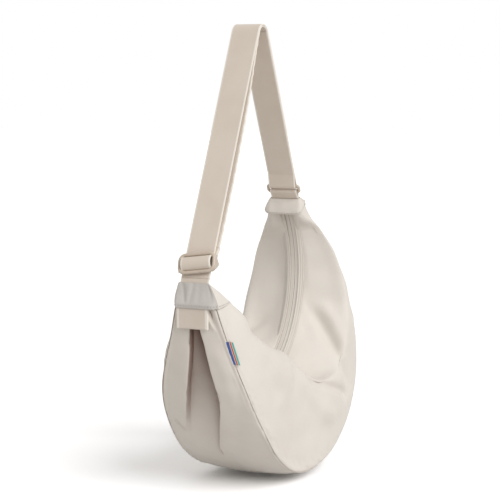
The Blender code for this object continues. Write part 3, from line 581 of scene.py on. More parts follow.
face_shares = np.concatenate([np.linspace(0.0, 0.05, 14), np.linspace(0.060, 0.93, 70),
                              np.linspace(0.94, 1.0, 9)])
seam_share = 1 - np.minimum(SEAM_STOP / (SEAM_RUN * (body_outer - ZIP_RADIUS)),
                            0.9) / len(PANEL_KNOTS)
shares = face_shares[None, :] * seam_share[:, None]
face_first = len(ZIP_TURN)
face_columns = slice(face_first, face_first + len(face_shares))
panel_grids = {}
for name, side in SIDES:
    face = panel_point(body_angles[:, None], shares, side)
    turned = [bag_point(body_angles, ZIP_RADIUS + sink, side * (y + 0 * body_angles))
              for sink, y in ZIP_TURN]
    seam = [bag_point(body_angles, body_outer + rise, side * (body_half + away))
            for rise, away in SEAM_TURN]
    grid = np.concatenate([np.stack(turned, 1), face, np.stack(seam, 1)], axis=1)
    lift = ripples(face, PANEL_RIPPLES[side])
    if side < 0:
        lift += (rounded(body_angles, *CREST_RAISES)[:, None] * eased(shares, 0.10, 0.34)
                 * (1 - eased(shares, 0.40, 0.80)))
    lift += folds(face, PANEL_FOLDS[side], partial(panel_point, side=side))
    lift *= eased(shares, 0.02, 0.14) * (1 - eased(shares, 0.93, 0.985))
    from_stitches = np.abs(face[..., 1]) - ZIP_STITCH_LINE
    lift -= STITCH_DENT * bell(from_stitches, STITCH_DENT_WIDTH) * (shares < 0.2)
    lift += (eased(shares, 0.86, 0.95) * (1 - eased(shares, 0.975, 1.0)) * 0.00030
             * ripple(face, 0.010, 13))
    grid[:, face_columns] = face + face_normals(face) * -side * lift[..., None]
    panel_grids[side] = grid
    cloth(name + "_crescent", grid, BONE, flip=side > 0, cad=name + "_panel")

# Lining: thin taffeta behind all three pieces, and one flat slip pocket sewn to it at the
# back along its sides and lower edge.
LINING_THICKNESS = 0.00035
LINING_SINK = 0.0023
GUSSET_LINING_SINK = 0.0035
GUSSET_LINING_TRIM = 0.0046
POCKET_SINK = 0.0033
POCKET_ANGLES = (250.0, 291.5)
POCKET_SHARES = (0.50, 0.86)
LINING_ROWS = slice(6, -6)
LINING_COLUMNS = slice(6, -8)
SLACK_ROUNDS = 60
TAFFETA = nylon("lining_taffeta", (0.520, 0.470, 0.410), (0.480, 0.430, 0.375), 0.00032, 0.18,
                0.48)
for name, side in SIDES:
    face = panel_grids[side][:, face_columns]
    slack = face.copy()
    for _ in range(SLACK_ROUNDS):
        slack[1:-1, 1:-1] = (slack[:-2, 1:-1] + slack[2:, 1:-1] + slack[1:-1, :-2]
                             + slack[1:-1, 2:]) / 4
    inward = face_normals(slack) * side
    proud = np.maximum(((face - slack) * inward).sum(axis=-1, keepdims=True), 0.0)
    inside = (slack + inward * (LINING_SINK + 1.2 * proud))[LINING_ROWS, LINING_COLUMNS]
    cloth("lining_" + name + "_piece", inside, TAFFETA, LINING_THICKNESS, flip=side > 0,
          cad="lining_" + name)
inside = face + face_normals(face) * POCKET_SINK
rows = (body_angles > POCKET_ANGLES[0]) & (body_angles < POCKET_ANGLES[1])
columns = (face_shares > POCKET_SHARES[0]) & (face_shares < POCKET_SHARES[1])
cloth("slip_pocket", inside[rows][:, columns], TAFFETA, LINING_THICKNESS, flip=True,
      cad="inner_pocket")

edge = (body_half - GUSSET_LINING_TRIM)[:, None]
share = np.linspace(-1.0, 1.0, 90)[None, :]
across = share * edge
right, top = lip_right[:, None] * edge, fold_top[:, None] * edge
dip = eased(across, right - 0.007, right - 0.002) * (1 - eased(across, top + 0.002, top + 0.008))
radius = (crowned(body_outer[:, None], body_bulge[:, None], share) - GUSSET_LINING_SINK
          - dip * (1.45 * pleat_depth[:, None] + 0.0012))
cloth("lining_gusset_piece", bag_point(body_angles[:, None], radius, across)[LINING_ROWS],
      TAFFETA, LINING_THICKNESS, cad="lining_gusset")

# Topstitching: one row of thread along each folded zip edge, through panel and tape. Each
# stitch is a bead of its own that goes into the cloth at both its ends.
THREAD_RADIUS = 0.00042
STITCH_PITCH = 0.0036
STITCH_LENGTH = 0.0026
# Each stitch: places along it, rise and thickness in thread radii.
STITCH_STEPS = np.array((-0.5, -0.34, 0.0, 0.34, 0.5)) * STITCH_LENGTH
STITCH_RISE = np.array((-0.5, 0.5, 0.8, 0.5, -0.5)) * THREAD_RADIUS
STITCH_SIZE = np.array((0.35, 0.85, 1.0, 0.85, 0.35)) * THREAD_RADIUS


def part_way(where, walked, points):
    """Places part way along a line of points."""
    return np.stack([np.interp(where, walked, column) for column in points.T], -1)


def rings(sides, first, second):
    """Directions round a tube, from two that are square to it."""
    turn = (np.arange(sides) * 2 * math.pi / sides)[:, None]
    return first[..., None, :] * np.cos(turn) + second[..., None, :] * np.sin(turn)


def tube_ends(columns, start, last):
    """The two faces that close a tube, from the first points of its end rings."""
    return [list(range(start, start + columns))[::-1], list(range(last, last + columns))]


def stitches(name, line, outward, paint, body="bag", slot="bone_nylon"):
    """A row of lockstitches along a line: each a bead of thread sunk at both its ends."""
    walked = walk(line)
    middles = np.arange(STITCH_PITCH * 0.7, walked[-1] - STITCH_PITCH * 0.6, STITCH_PITCH)
    along = middles[:, None] + STITCH_STEPS
    centre = part_way(along, walked, line)
    up = unit(part_way(along, walked, outward))
    side = unit(np.cross(unit(centre[:, -1:] - centre[:, :1]) + 0 * up, up))
    points = (centre[:, :, None] + up[:, :, None] * STITCH_RISE[:, None, None]
              + rings(6, side, up) * STITCH_SIZE[:, None, None])
    starts = np.arange(len(middles)) * 30
    faces = (grid_faces(5, 6, True)[None] + starts[:, None, None]).reshape(-1, 4).tolist()
    for start in starts.tolist():
        faces += tube_ends(6, start, start + 24)
    return build_mesh(name, points, faces, paint, body=body, slot=slot)


def thread(name, colour):
    """Twisted polyester thread."""
    made, add, shader = surface(name)
    twist = noise(add, 2600.0, 1.0)
    dress(shader, Roughness=0.5, Normal=bumps(add, twist, 0.3, 0.0001),
          Base_Color=mixed(add, colour, [c * 0.85 for c in colour], twist))
    return made


THREAD = thread("bone_thread", (0.93, 0.90, 0.85))
for name, side in SIDES:
    face = panel_grids[side][:, face_first - 2:face_columns.stop]
    rows = [[part_way(ZIP_STITCH_LINE, np.abs(row[:20, 1]), column[:20]) for column in (row, up)]
            for row, up in zip(face, face_normals(face) * -side)]
    line, up = np.array(rows[3:-3]).transpose(1, 0, 2)
    stitches("zip_topstitch_" + name, line, up, THREAD)

# Zip: two woven tapes under the folded edges, a spiral coil sewn to the inner face of each,
# a stop at each end of the coils, and the slider with its flat pull.
TAPE_RADIUS = ZIP_RADIUS + 0.0014
TAPE_THICKNESS = 0.0006
TAPE_SPLIT_HALF = 0.0008
TAPE_LINE = (0.0, 0.0001, 0.0003, 0.0006, 0.0009, 0.0013, 0.0018, 0.0024, 0.0040, 0.0060,
             0.0090, 0.0115, 0.0129)
COIL_RADIUS = 0.0011
COIL_LINE_RADIUS = TAPE_RADIUS + TAPE_THICKNESS + 0.0003 + COIL_RADIUS
COIL_WIRE = 0.00026
COIL_PITCH = 0.0013
SLIDER_PARKED = math.degrees(0.027 / ZIP_RADIUS)
SLIDER_ANGLE = NEAR_ANGLE + SLIDER_PARKED
SLIDER_HALF_TURN = math.degrees(0.0059 / ZIP_RADIUS)
COIL_ANGLES = (SLIDER_ANGLE - SLIDER_HALF_TURN, FAR_ANGLE - SLIDER_PARKED + SLIDER_HALF_TURN)
STOP_SIZE = (0.0025, 0.0060, 0.0022)
TOP_PLATE, BOTTOM_PLATE = -0.0004, -0.0051
PIVOT_HEIGHT = 0.0018
BRIDGE = ((-0.0035, -0.0006), (-0.0035, 0.0016), (-0.0033, 0.0024), (-0.0026, 0.0030),
          (-0.0016, 0.0033), (0.0, 0.0034), (0.0016, 0.0033), (0.0026, 0.0030),
          (0.0033, 0.0024), (0.0035, 0.0016), (0.0035, -0.0006))


def wire(name, points, radius, paint, sides=8, cyclic=False, **facts):
    """A round wire along a line of points, as a closed tube."""
    points = np.asarray(points, float)
    if cyclic:
        tangent = unit(np.roll(points, -1, axis=0) - np.roll(points, 1, axis=0))
    else:
        tangent = unit(np.gradient(points, axis=0))
    side = np.cross(tangent[0], (0.3, 0.9, 0.2))
    frames = []
    for direction in tangent:
        side = side - direction * side.dot(direction)
        side = side / np.linalg.norm(side)
        frames.append((side, np.cross(direction, side)))
    grid = points[:, None] + rings(sides, *np.array(frames).transpose(1, 0, 2)) * radius
    faces = grid_faces(len(points), sides, True).tolist()
    last = (len(points) - 1) * sides
    if cyclic:
        ring = np.arange(sides)
        faces += np.stack((ring + last, np.roll(ring, -1) + last, np.roll(ring, -1), ring),
                          -1).tolist()
    else:
        faces += tube_ends(sides, 0, last)
    return build_mesh(name, grid, faces, paint, **facts)


def hard_finish(name, colour, roughness, grain=0.15, wear=None):
    """A moulded or enamelled finish, with fine grain, faint blotches and rubbed spots."""
    made, add, shader = surface(name)
    blotch = noise(add, 90.0, 3.0)
    dress(shader, Normal=bumps(add, noise(add, 1500.0, 2.0), grain, 0.00008),
          Base_Color=mixed(add, colour, wear or [c * 0.88 for c in colour],
                           ranged(add, blotch, 0.42, 0.80)),
          Roughness=add("MapRange", Value=blotch, To_Min=roughness - 0.06,
                        To_Max=roughness + 0.10))
    return made


def block(size, matrix, corner, steps=7):
    """Points and faces of a block with rounded edges."""
    half = np.array(size) / 2
    corner = min(corner, half.min())
    a, b = np.meshgrid(*[np.linspace(-1.0, 1.0, steps)] * 2, indexing="ij")
    points, faces = [], []
    for axis in range(3):
        for sign in (-1, 1):
            face = np.zeros((steps, steps, 3))
            face[..., axis] = sign
            face[..., (axis + 1) % 3] = a * sign
            face[..., (axis + 2) % 3] = b
            place = face * half
            core = np.clip(place, -(half - corner), half - corner)
            place = core + unit(place - core + face * 1e-9) * corner
            faces.append(grid_faces(steps, steps, start=len(points) * steps * steps)[:, ::-1])
            points.append(place.reshape(-1, 3))
    turned = np.concatenate(points) @ np.array(matrix.to_3x3()).T + np.array(matrix.translation)
    return turned, np.concatenate(faces).tolist()


def blocks(base, *rows, steps=7):
    """Blocks from rows of size, place on a shared frame, and corner radius."""
    return [block(size, base @ Matrix.Translation(place), corner, steps)
            for size, place, corner in rows]


def shape_of(made):
    """The points and faces of an object that was only made to be fused into another."""
    mesh = made.data
    points = np.zeros(len(mesh.vertices) * 3)
    mesh.vertices.foreach_get("co", points)
    faces = [list(face.vertices) for face in mesh.polygons]
    bpy.data.objects.remove(made)
    return points.reshape(-1, 3), faces


def fused(name, pieces, voxel, paint, soften=3, **facts):
    """One smooth solid from several overlapping closed ones, as a casting or moulding is."""
    faces, start = [], 0
    for points, those in pieces:
        faces += [[k + start for k in face] for face in those]
        start += len(points)
    rough = build_mesh(name + "_rough", np.concatenate([piece[0] for piece in pieces]), faces,
                       paint)
    remesh = rough.modifiers.new("remesh", "REMESH")
    remesh.mode = "VOXEL"
    remesh.voxel_size = voxel
    rough.modifiers.new("smooth", "SMOOTH").iterations = soften
    bpy.context.view_layer.update()
    mesh = bpy.data.meshes.new_from_object(
        rough.evaluated_get(bpy.context.evaluated_depsgraph_get()))
    bpy.data.objects.remove(rough)
    return finished(name, mesh, paint, **facts)


def on_zip(angle):
    """A frame on the zip: X along it, Y across it, Z towards its centre."""
    turn = math.radians(angle) + TILT
    axes = Matrix(((-math.sin(turn), 0, math.cos(turn)), (0, 1, 0),
                   (-math.cos(turn), 0, -math.sin(turn)))).transposed().to_4x4()
    return Matrix.Translation(Vector(bag_point(angle, ZIP_RADIUS, 0.0))) @ axes


TAPE = nylon("zip_tape", (0.800, 0.765, 0.710), (0.745, 0.705, 0.650), 0.0008, 0.5, 0.6)
COIL = thread("zip_coil", (0.64, 0.60, 0.54))
ZINC = hard_finish("painted_zinc", (0.62, 0.54, 0.46), 0.34, 0.10, (0.50, 0.44, 0.38))
tape_angles = np.linspace(NEAR_ANGLE + 0.2, BODY_END - 0.2, 920)[:, None]
across = 0.0001 + np.array(TAPE_LINE)[None, :]
coil_turns = int(math.radians(COIL_ANGLES[1] - COIL_ANGLES[0]) * COIL_LINE_RADIUS / COIL_PITCH)
turns = np.linspace(0.0, coil_turns, coil_turns * 12 + 1)
reach = COIL_RADIUS - COIL_WIRE
for name, side in SIDES:
    teeth = 0.5 + 0.5 * np.sin(np.radians(tape_angles) * ZIP_RADIUS * 2 * math.pi / COIL_PITCH
                               + side * math.pi / 2)
    raised = (bell(across - 0.0011, 0.0007) * (0.00022 + 0.00016 * teeth)
              - 0.00035 * eased(0.0004 - across, 0.0, 0.0003))
    cloth("zip_tape_strip_" + name, bag_point(tape_angles, TAPE_RADIUS - raised, side * across),
          TAPE, TAPE_THICKNESS, flip=side > 0, cad="zip_tape_" + name)
for name, side in SIDES:
    phase = turns * 2 * math.pi + (side > 0) * math.pi
    angle = COIL_ANGLES[0] + (COIL_ANGLES[1] - COIL_ANGLES[0]) * turns / coil_turns
    line = bag_point(angle, COIL_LINE_RADIUS + reach * np.sin(phase),
                     side * (TAPE_SPLIT_HALF + COIL_RADIUS + reach * np.cos(phase)))
    wire("zip_spiral_" + name, line, COIL_WIRE, COIL, 5, body="bag", cad="zip_coil_" + name)

stop_turn = math.degrees(STOP_SIZE[0] / 2 / ZIP_RADIUS) + 0.17
level = ZIP_RADIUS - COIL_LINE_RADIUS
long, wide, tall = STOP_SIZE
for name, angle in (("near", COIL_ANGLES[0] - stop_turn), ("far", COIL_ANGLES[1] + stop_turn)):
    bars = blocks(on_zip(angle), ((long, wide, tall * 0.8), (0, 0, level), 0.0005),
                  *[((long, 0.0012, tall), (0, side * 0.0024, level), 0.0005)
                    for side in (-1, 1)])
    fused("zip_end_stop_" + name, bars, 0.00016, ZINC, body="bag", cad="zip_stop_" + name)

slider_frame = on_zip(SLIDER_ANGLE)
bars = blocks(
    slider_frame,
    *[((0.0048, width, 0.0012), (start, 0, level), 0.0005) for level in (TOP_PLATE, BOTTOM_PLATE)
      for start, width in ((-0.0031, 0.0068), (-0.0012, 0.0080), (0.0012, 0.0090),
                           (0.0030, 0.0086))],
    ((0.0030, 0.0011, TOP_PLATE - BOTTOM_PLATE), (0.0040, 0, (TOP_PLATE + BOTTOM_PLATE) / 2),
     0.0004),
    *[((0.0100, 0.0009, 0.0026), (0, side * 0.0039, BOTTOM_PLATE + 0.0013), 0.0004)
      for side in (-1, 1)])
bars.append(shape_of(wire("bridge", [slider_frame @ Vector((x, 0, z)) for x, z in BRIDGE],
                          0.0007, ZINC)))
fused("zip_slider_body", bars, 0.00022, ZINC, body="zip_slider", cad="zip_slider")
pull_frame = (slider_frame @ Matrix.Translation((0, 0, PIVOT_HEIGHT))
              @ Matrix.Rotation(math.radians(-9.0), 4, "Y"))
bars = blocks(
    pull_frame, ((0.0150, 0.0068, 0.0011), (0.0128, 0, 0), 0.0005),
    ((0.0050, 0.0062, 0.0012), (0.0192, 0, 0), 0.0006),
    ((0.0012, 0.0060, 0.0012), (0, 0, 0), 0.0005),
    *[((0.0070, 0.0019, 0.0012), (0.0029, side * 0.0025, 0), 0.0005) for side in (-1, 1)])
fused("zip_pull_tab", bars, 0.00018, ZINC, body="zip_pull", cad="zip_pull")

# Strap: one length of flat woven webbing with slightly thicker edges. It leaves the near
# cap, runs over the top, round the ring and back inside itself, then down the near leg to
# the tri-glide, where its end is looped round the rear bar and sewn.
STRAP_WIDTH = 0.038
WEBBING_THICKNESS = 0.0016
LAYER_GAP = 0.0003
LAYER_PITCH = WEBBING_THICKNESS + LAYER_GAP
APEX = np.array((0.0, -0.012))
OUTER_BEND = 0.0147
NEAR_END_LENGTH = 0.0065
WEBBING_TUCK = 0.003
MERGE_LENGTH = 0.016
END_LOOP_LENGTH = 0.022
INNER_SHIFT = 0.004
INNER_SLACK = 0.003
GLIDE_STATION = 0.0245
GLIDE_ROLL = math.radians(8.0)
GLIDE_WRAP = 0.0028
GLIDE_BAR = 0.0017
RING_STATION = 0.019
RING_BAR_SPACING = 0.0088
RING_WRAP = 0.0031
CAP_HEIGHT = 0.027
CAP_LIP = 0.0034
# A line from the strap's exit towards the cap's hem at each end: its way and its two ends.
NEAR_TWIST_WAY, NEAR_TWIST_ENDS = np.array((0.052, -0.999)), (0.0030, 0.0177)
FAR_TWIST_WAY, FAR_TWIST_ENDS = np.array((0.602, -0.799)), (0.0005, 0.0080)
TACK_ROWS = (0.0175, 0.0198)
TACK_SPAN = (-0.020, 0.012)
RIB_PITCH = 0.0011
RIB_BAND = 0.0032
EDGE_CORD = 0.00010
EDGE_SCALLOP = 0.0035
SCALLOP_PITCH = 0.0026


def webbing_finish(name, colour, shade, edge):
    """Herringbone webbing: slanting ribs in bands, paler corded edges, fibres and fluff."""
    made, add, shader = surface(name)
    across, along = add("SeparateXYZ", add("UVMap", uv_map="cloth"), out=None)[:2]
    slant = maths(add, "ADD", maths(add, "PINGPONG", across, RIB_BAND), along)
    wave = maths(add, "SINE", maths(add, "MULTIPLY", slant, 2 * math.pi / RIB_PITCH))
    height = maths(add, "MULTIPLY_ADD", wave, 0.45, noise(add, 1400.0, 3.0))
    tone = mixed(add, colour, shade, ranged(add, noise(add, 30.0, 4.0), 0.35, 0.75))
    tone = mixed(add, tone, (0.90, 0.89, 0.87), ranged(add, wave, 0.3, -1.0), "MULTIPLY")
    border = ranged(add, maths(add, "ABSOLUTE", across), STRAP_WIDTH / 2 - 0.0022,
                    STRAP_WIDTH / 2 - 0.0014)
    dress(shader, Roughness=0.72, Sheen_Weight=0.25, Sheen_Roughness=0.5,
          Specular_IOR_Level=0.3, Base_Color=mixed(add, tone, edge, border),
          Normal=bumps(add, height, 0.35, 0.00020))
    return made


WEBBING = webbing_finish("beige_webbing", (0.765, 0.683, 0.603), (0.726, 0.637, 0.555),
                         (0.880, 0.820, 0.745))


def webbing(name, path, shifts=None, step=0.0011, wave=0.0, seed=1, width=STRAP_WIDTH, **facts):
    """A closed strip of webbing along an (x, z) path, with corded, slightly uneven edges."""
    path = np.asarray(path, float)
    walked = walk(path)
    count = max(int(walked[-1] / step), 8)
    stations = np.unique(np.concatenate([np.linspace(0.0, walked[-1], count + 1), walked]))
    stations = stations[np.concatenate([[True], np.diff(stations) > 1e-5])]
    turns = stations * 2 * math.pi
    line = part_way(stations, walked, path)
    aside = np.interp(stations, walked, np.zeros(len(path)) if shifts is None else shifts)
    phases = np.random.default_rng(seed).uniform(0, 2 * math.pi, 3)
    aside += wave * (np.sin(turns / 0.013 + phases[0]) + 0.6 * np.sin(turns / 0.021 + phases[1]))
    along = unit(np.gradient(line, axis=0))
    half, thick = (width - WEBBING_THICKNESS) / 2, WEBBING_THICKNESS / 2
    face = np.linspace(-1.0, 1.0, 27)
    cord = thick + EDGE_CORD * bell(np.abs(face) - 0.965, 0.03)
    turn = np.linspace(math.pi / 2, -math.pi / 2, 7)[1:-1]
    edge_y, edge_z = half + thick * np.cos(turn), thick * np.sin(turn)
    across, out = np.concatenate([
        (face * half, cord), (edge_y, edge_z), (face[::-1] * half, -cord), (-edge_y, -edge_z)], 1)
    scallop = 1 + EDGE_SCALLOP * np.sin(turns / SCALLOP_PITCH + phases[2])[:, None]
    rows, columns = len(stations), len(across)
    grid = np.stack((line[:, :1] + along[:, 1:] * out, across * scallop + aside[:, None],
                     line[:, 1:] - along[:, :1] * out), -1)
    faces = (grid_faces(rows, columns, True).tolist()
             + tube_ends(columns, 0, (rows - 1) * columns))
    uv = np.stack(np.broadcast_arrays(across, stations[:, None]), -1)
    return build_mesh(name, grid, faces, WEBBING, uv=uv, **facts)


def touch(centre_1, radius_1, centre_2, radius_2, side):
    """Where a tangent touches two circles, and its normal on the given side."""
    along = centre_2 - centre_1
    lean = (radius_1 - radius_2) / np.hypot(*along)
    forward = unit(along)
    square = np.array((-forward[1], forward[0]))
    square = square if square @ side > 0 else -square
    normal = forward * lean + square * math.sqrt(1 - lean**2)
    return centre_1 + normal * radius_1, centre_2 + normal * radius_2, normal


def bend(centre, radius, start, end, clockwise, steps=24):
    """Points on a circle from one direction to another."""
    first = math.atan2(start[1], start[0])
    sweep = math.atan2(end[1], end[0]) - first
    if clockwise and sweep > 0:
        sweep -= 2 * math.pi
    if not clockwise and sweep < 0:
        sweep += 2 * math.pi
    turn = first + sweep * np.linspace(0.0, 1.0, steps + 1)
    return list(centre + radius * np.stack((np.cos(turn), np.sin(turn)), -1))


def bends(piece):
    """A piece whose placing is baked into its points."""
    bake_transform(piece)


near_outer, far_outer = (float(body_at(angle)[0]) for angle in (NEAR_ANGLE, FAR_ANGLE))
near_exit = side_point(NEAR_ANGLE - math.degrees(CAP_HEIGHT / near_outer), near_outer - CAP_LIP)
far_exit = side_point(FAR_ANGLE + math.degrees(CAP_HEIGHT / far_outer), far_outer - CAP_LIP)
near_inside = unit(side_point(NEAR_ANGLE, (near_outer + ZIP_RADIUS) / 2) - near_exit)
_, near_touch, near_normal = touch(near_exit, 0.0, APEX, OUTER_BEND, np.array((-1, 0)))
near_up = unit(near_touch - near_exit)
far_up = unit(APEX - far_exit)
far_side = np.array((far_up[1], -far_up[0]))
ring_bar = far_exit + far_up * RING_STATION
ring_low_bar = ring_bar - far_up * RING_BAR_SPACING
near_twist = [near_exit + NEAR_TWIST_WAY * down for down in NEAR_TWIST_ENDS]
far_twist = [far_exit + FAR_TWIST_WAY * down for down in FAR_TWIST_ENDS]

far_touch, wrap_touch, far_normal = touch(APEX, OUTER_BEND, ring_bar, RING_WRAP,
                                          np.array((1, 0)))
merge = (wrap_touch - far_normal * LAYER_PITCH
         + unit(far_touch - wrap_touch) * MERGE_LENGTH)
leave_normal = touch(merge, 0.0, ring_bar, RING_WRAP, -far_normal)[2]
path = [near_exit + near_up * (NEAR_END_LENGTH + LAYER_GAP),
        *bend(APEX, OUTER_BEND, near_normal, far_normal, True, 40),
        *bend(ring_bar, RING_WRAP, far_normal, leave_normal, True), merge,
        *bend(APEX, OUTER_BEND - LAYER_PITCH, far_normal, near_normal, False, 40)]
webbing("strap_long_webbing", path, seed=31, body="strap", cad="strap_webbing")

path = [near_exit + near_inside * (WEBBING_TUCK + 0.0005), near_exit + near_inside * 0.001,
        near_exit + near_up * 0.001, near_exit + near_up * (NEAR_END_LENGTH + 0.0001)]
near_end = webbing("strap_sewn_end", path, seed=32, cad="strap_near_end")
bends(near_end)

glide_centre = near_exit + near_up * GLIDE_STATION
inner_line = glide_centre - near_normal * LAYER_PITCH
tail_line = inner_line - near_normal * LAYER_PITCH
roll_drop = STRAP_WIDTH / 2 * math.sin(GLIDE_ROLL)
turn_centre = glide_centre - near_normal * (LAYER_PITCH + GLIDE_WRAP) - near_up * roll_drop
bar_top = near_up * (roll_drop + 2 * GLIDE_BAR)
path = [inner_line + near_up * END_LOOP_LENGTH, inner_line + bar_top,
        *bend(turn_centre, GLIDE_WRAP, near_normal, -near_normal, False),
        inner_line - near_normal * 2 * GLIDE_WRAP + bar_top,
        tail_line + near_up * END_LOOP_LENGTH * 0.7, tail_line + near_up * END_LOOP_LENGTH]
shifts = [-INNER_SHIFT, *[0.0] * (len(path) - 3), -INNER_SHIFT * 0.7, -INNER_SHIFT]
webbing("strap_sewn_loop", path, shifts, seed=33, body="tri_glide", cad="strap_end_loop")
tack = tail_line - near_normal * (WEBBING_THICKNESS / 2 + 0.0001)
for number, up in enumerate(TACK_ROWS):
    x, z = tack + near_up * up
    line = np.array([(x, y, z) for y in np.linspace(*TACK_SPAN, 40)])
    facing = np.broadcast_to((-near_normal[0], 0.0, -near_normal[1]), line.shape)
    stitches("loop_stitch_%d" % (number + 1), line, facing, THREAD, "tri_glide", "beige_webbing")

inner_top = APEX + near_normal * (OUTER_BEND - LAYER_PITCH) - near_up * LAYER_GAP
inner_low = inner_line + near_up * (END_LOOP_LENGTH + LAYER_GAP)
up = np.linspace(0.0, 1.0, 60)
slack = rounded(up, (0.0, 0.1, 0.3, 0.5, 0.7, 0.9, 1.0), (0.0, 0.5, 1.0, 1.0, 0.8, 0.2, 0.0), 4)
shift = rounded(up, (0.0, 0.3, 0.5, 0.7, 0.9, 1.0), (1.0, 1.0, 0.9, 0.7, 0.2, 0.0), 4)
path = [inner_low + (inner_top - inner_low) * u - near_normal * s * INNER_SLACK
        for u, s in zip(up, slack)]
inner = webbing("strap_inner_webbing", path, -shift * INNER_SHIFT, wave=0.00022, seed=34,
                body="strap", cad="strap_inner_layer")
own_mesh(inner)

foot_front = far_exit + far_side * (LAYER_PITCH / 2)
foot_back = far_exit - far_side * (LAYER_PITCH / 2)
front_normal = touch(foot_front, 0.0, ring_low_bar, RING_WRAP, far_side)[2]
back_normal = touch(foot_back, 0.0, ring_low_bar, RING_WRAP, -far_side)[2]
path = [foot_front - far_up * WEBBING_TUCK, foot_front,
        *bend(ring_low_bar, RING_WRAP, front_normal, back_normal, False),
        foot_back, foot_back - far_up * WEBBING_TUCK]
ring_loop = webbing("ring_loop_webbing", path, step=0.0007, seed=35, cad="far_ring_loop")
bends(ring_loop)

# Tri-glide and ring: moulded acetal in the strap's colour. The tri-glide is a wide frame
# in front of the webbing, joined by a lug at each side to a bar behind it, and the strap
# bulges through its window in a soft roll.
GLIDE_WIRE = 0.0022
GLIDE_WIDTH, GLIDE_HEIGHT = 0.049, 0.027
GLIDE_CORNER = 0.0075
GLIDE_FORWARD = 0.0016
RING_WIRE = 0.0020
RING_WIDTH = 0.048
RING_CORNER = 0.003
ROLL_WIDTH = 0.039
ROLL_START = 0.0016
ROLL_DEPTH = 0.0082
ROLL_HALF_HEIGHT = 0.0084
ACETAL = hard_finish("beige_acetal", (0.600, 0.510, 0.425), 0.30, 0.12)


def leg_frame(centre, up, normal):
    """A frame on the strap: X out of its face, Y across it, Z up along it."""
    axes = Matrix(((normal[0], 0, normal[1]), (0, 1, 0), (up[0], 0, up[1]))).transposed()
    return Matrix.Translation((centre[0], 0, centre[1])) @ axes.to_4x4()


def round_box(half_a, half_b, corners, turns=14, count=24):
    """Places round a rectangle with round corners, and the way that each faces. The radii
    are those of the corners at +a and at -a."""
    def on_corner(quarter, turn):
        a, b = ((1, 1), (-1, 1), (-1, -1), (1, -1))[quarter % 4]
        corner = corners[a < 0]
        way = np.array((math.cos(turn), math.sin(turn)))
        return np.array((a * (half_a - corner), b * (half_b - corner))) + corner * way, way

    steps = []
    for quarter in range(4):
        steps += [on_corner(quarter, turn)
                  for turn in np.linspace(quarter, quarter + 1, turns) * math.pi / 2]
        start = steps[-1][0]
        end, way = on_corner(quarter + 1, (quarter + 1) * math.pi / 2)
        steps += [(start + (end - start) * share, way)
                  for share in np.linspace(0, 1, count + 2)[1:-1]]
    return [np.array(column) for column in zip(*steps)]


glide_frame = leg_frame(glide_centre, near_up, near_normal) @ Matrix.Rotation(-GLIDE_ROLL, 4, "X")
face = WEBBING_THICKNESS / 2 + 0.0004 + GLIDE_WIRE + GLIDE_FORWARD
half_width = GLIDE_WIDTH / 2 - GLIDE_WIRE
rear = -(LAYER_PITCH + GLIDE_WRAP)
lug_depth = face - rear + GLIDE_BAR
line = round_box(half_width, GLIDE_HEIGHT / 2 - GLIDE_WIRE, (GLIDE_CORNER,) * 2)[0]
bars = [shape_of(wire("glide_wire", [glide_frame @ Vector((face, y, z)) for y, z in line],
                      GLIDE_WIRE, ACETAL, 20, True))]
bars += blocks(
    glide_frame,
    *[((reach, 2 * GLIDE_WIRE, tall), (face - reach / 2, side * half_width, 0), corner)
      for reach, tall, corner in ((lug_depth, 0.005, 0.0012), (0.0038, 0.0205, 0.0018),
                                  (0.0066, 0.0160, 0.0018), (0.0095, 0.0110, 0.0018))
      for side in (-1, 1)], steps=9)
bars.append(shape_of(wire("glide_bar", [glide_frame @ Vector((rear, y, 0))
                                        for y in np.linspace(-half_width, half_width, 20)],
                          GLIDE_BAR, ACETAL, 16)))
fused("tri_glide_frame", bars, 0.00042, ACETAL, 4, body="tri_glide", cad="tri_glide")

path = [(ROLL_START + ROLL_DEPTH * math.sin(turn)**0.85, ROLL_HALF_HEIGHT * math.cos(turn))
        for turn in np.linspace(math.pi, 0.0, 44)]
roll = webbing("strap_roll", path, step=0.0005, width=ROLL_WIDTH, seed=36)
roll.data.transform(glide_frame)
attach(roll, "tri_glide")

ring_frame = leg_frame(ring_bar, far_up, far_side)
line = round_box(RING_WIDTH / 2 - RING_WIRE, RING_BAR_SPACING / 2, (RING_CORNER,) * 2)[0]
wire("strap_ring", [ring_frame @ Vector((0, y, z - RING_BAR_SPACING / 2)) for y, z in line],
     RING_WIRE, ACETAL, 20, True, body="far_ring", cad="far_ring")
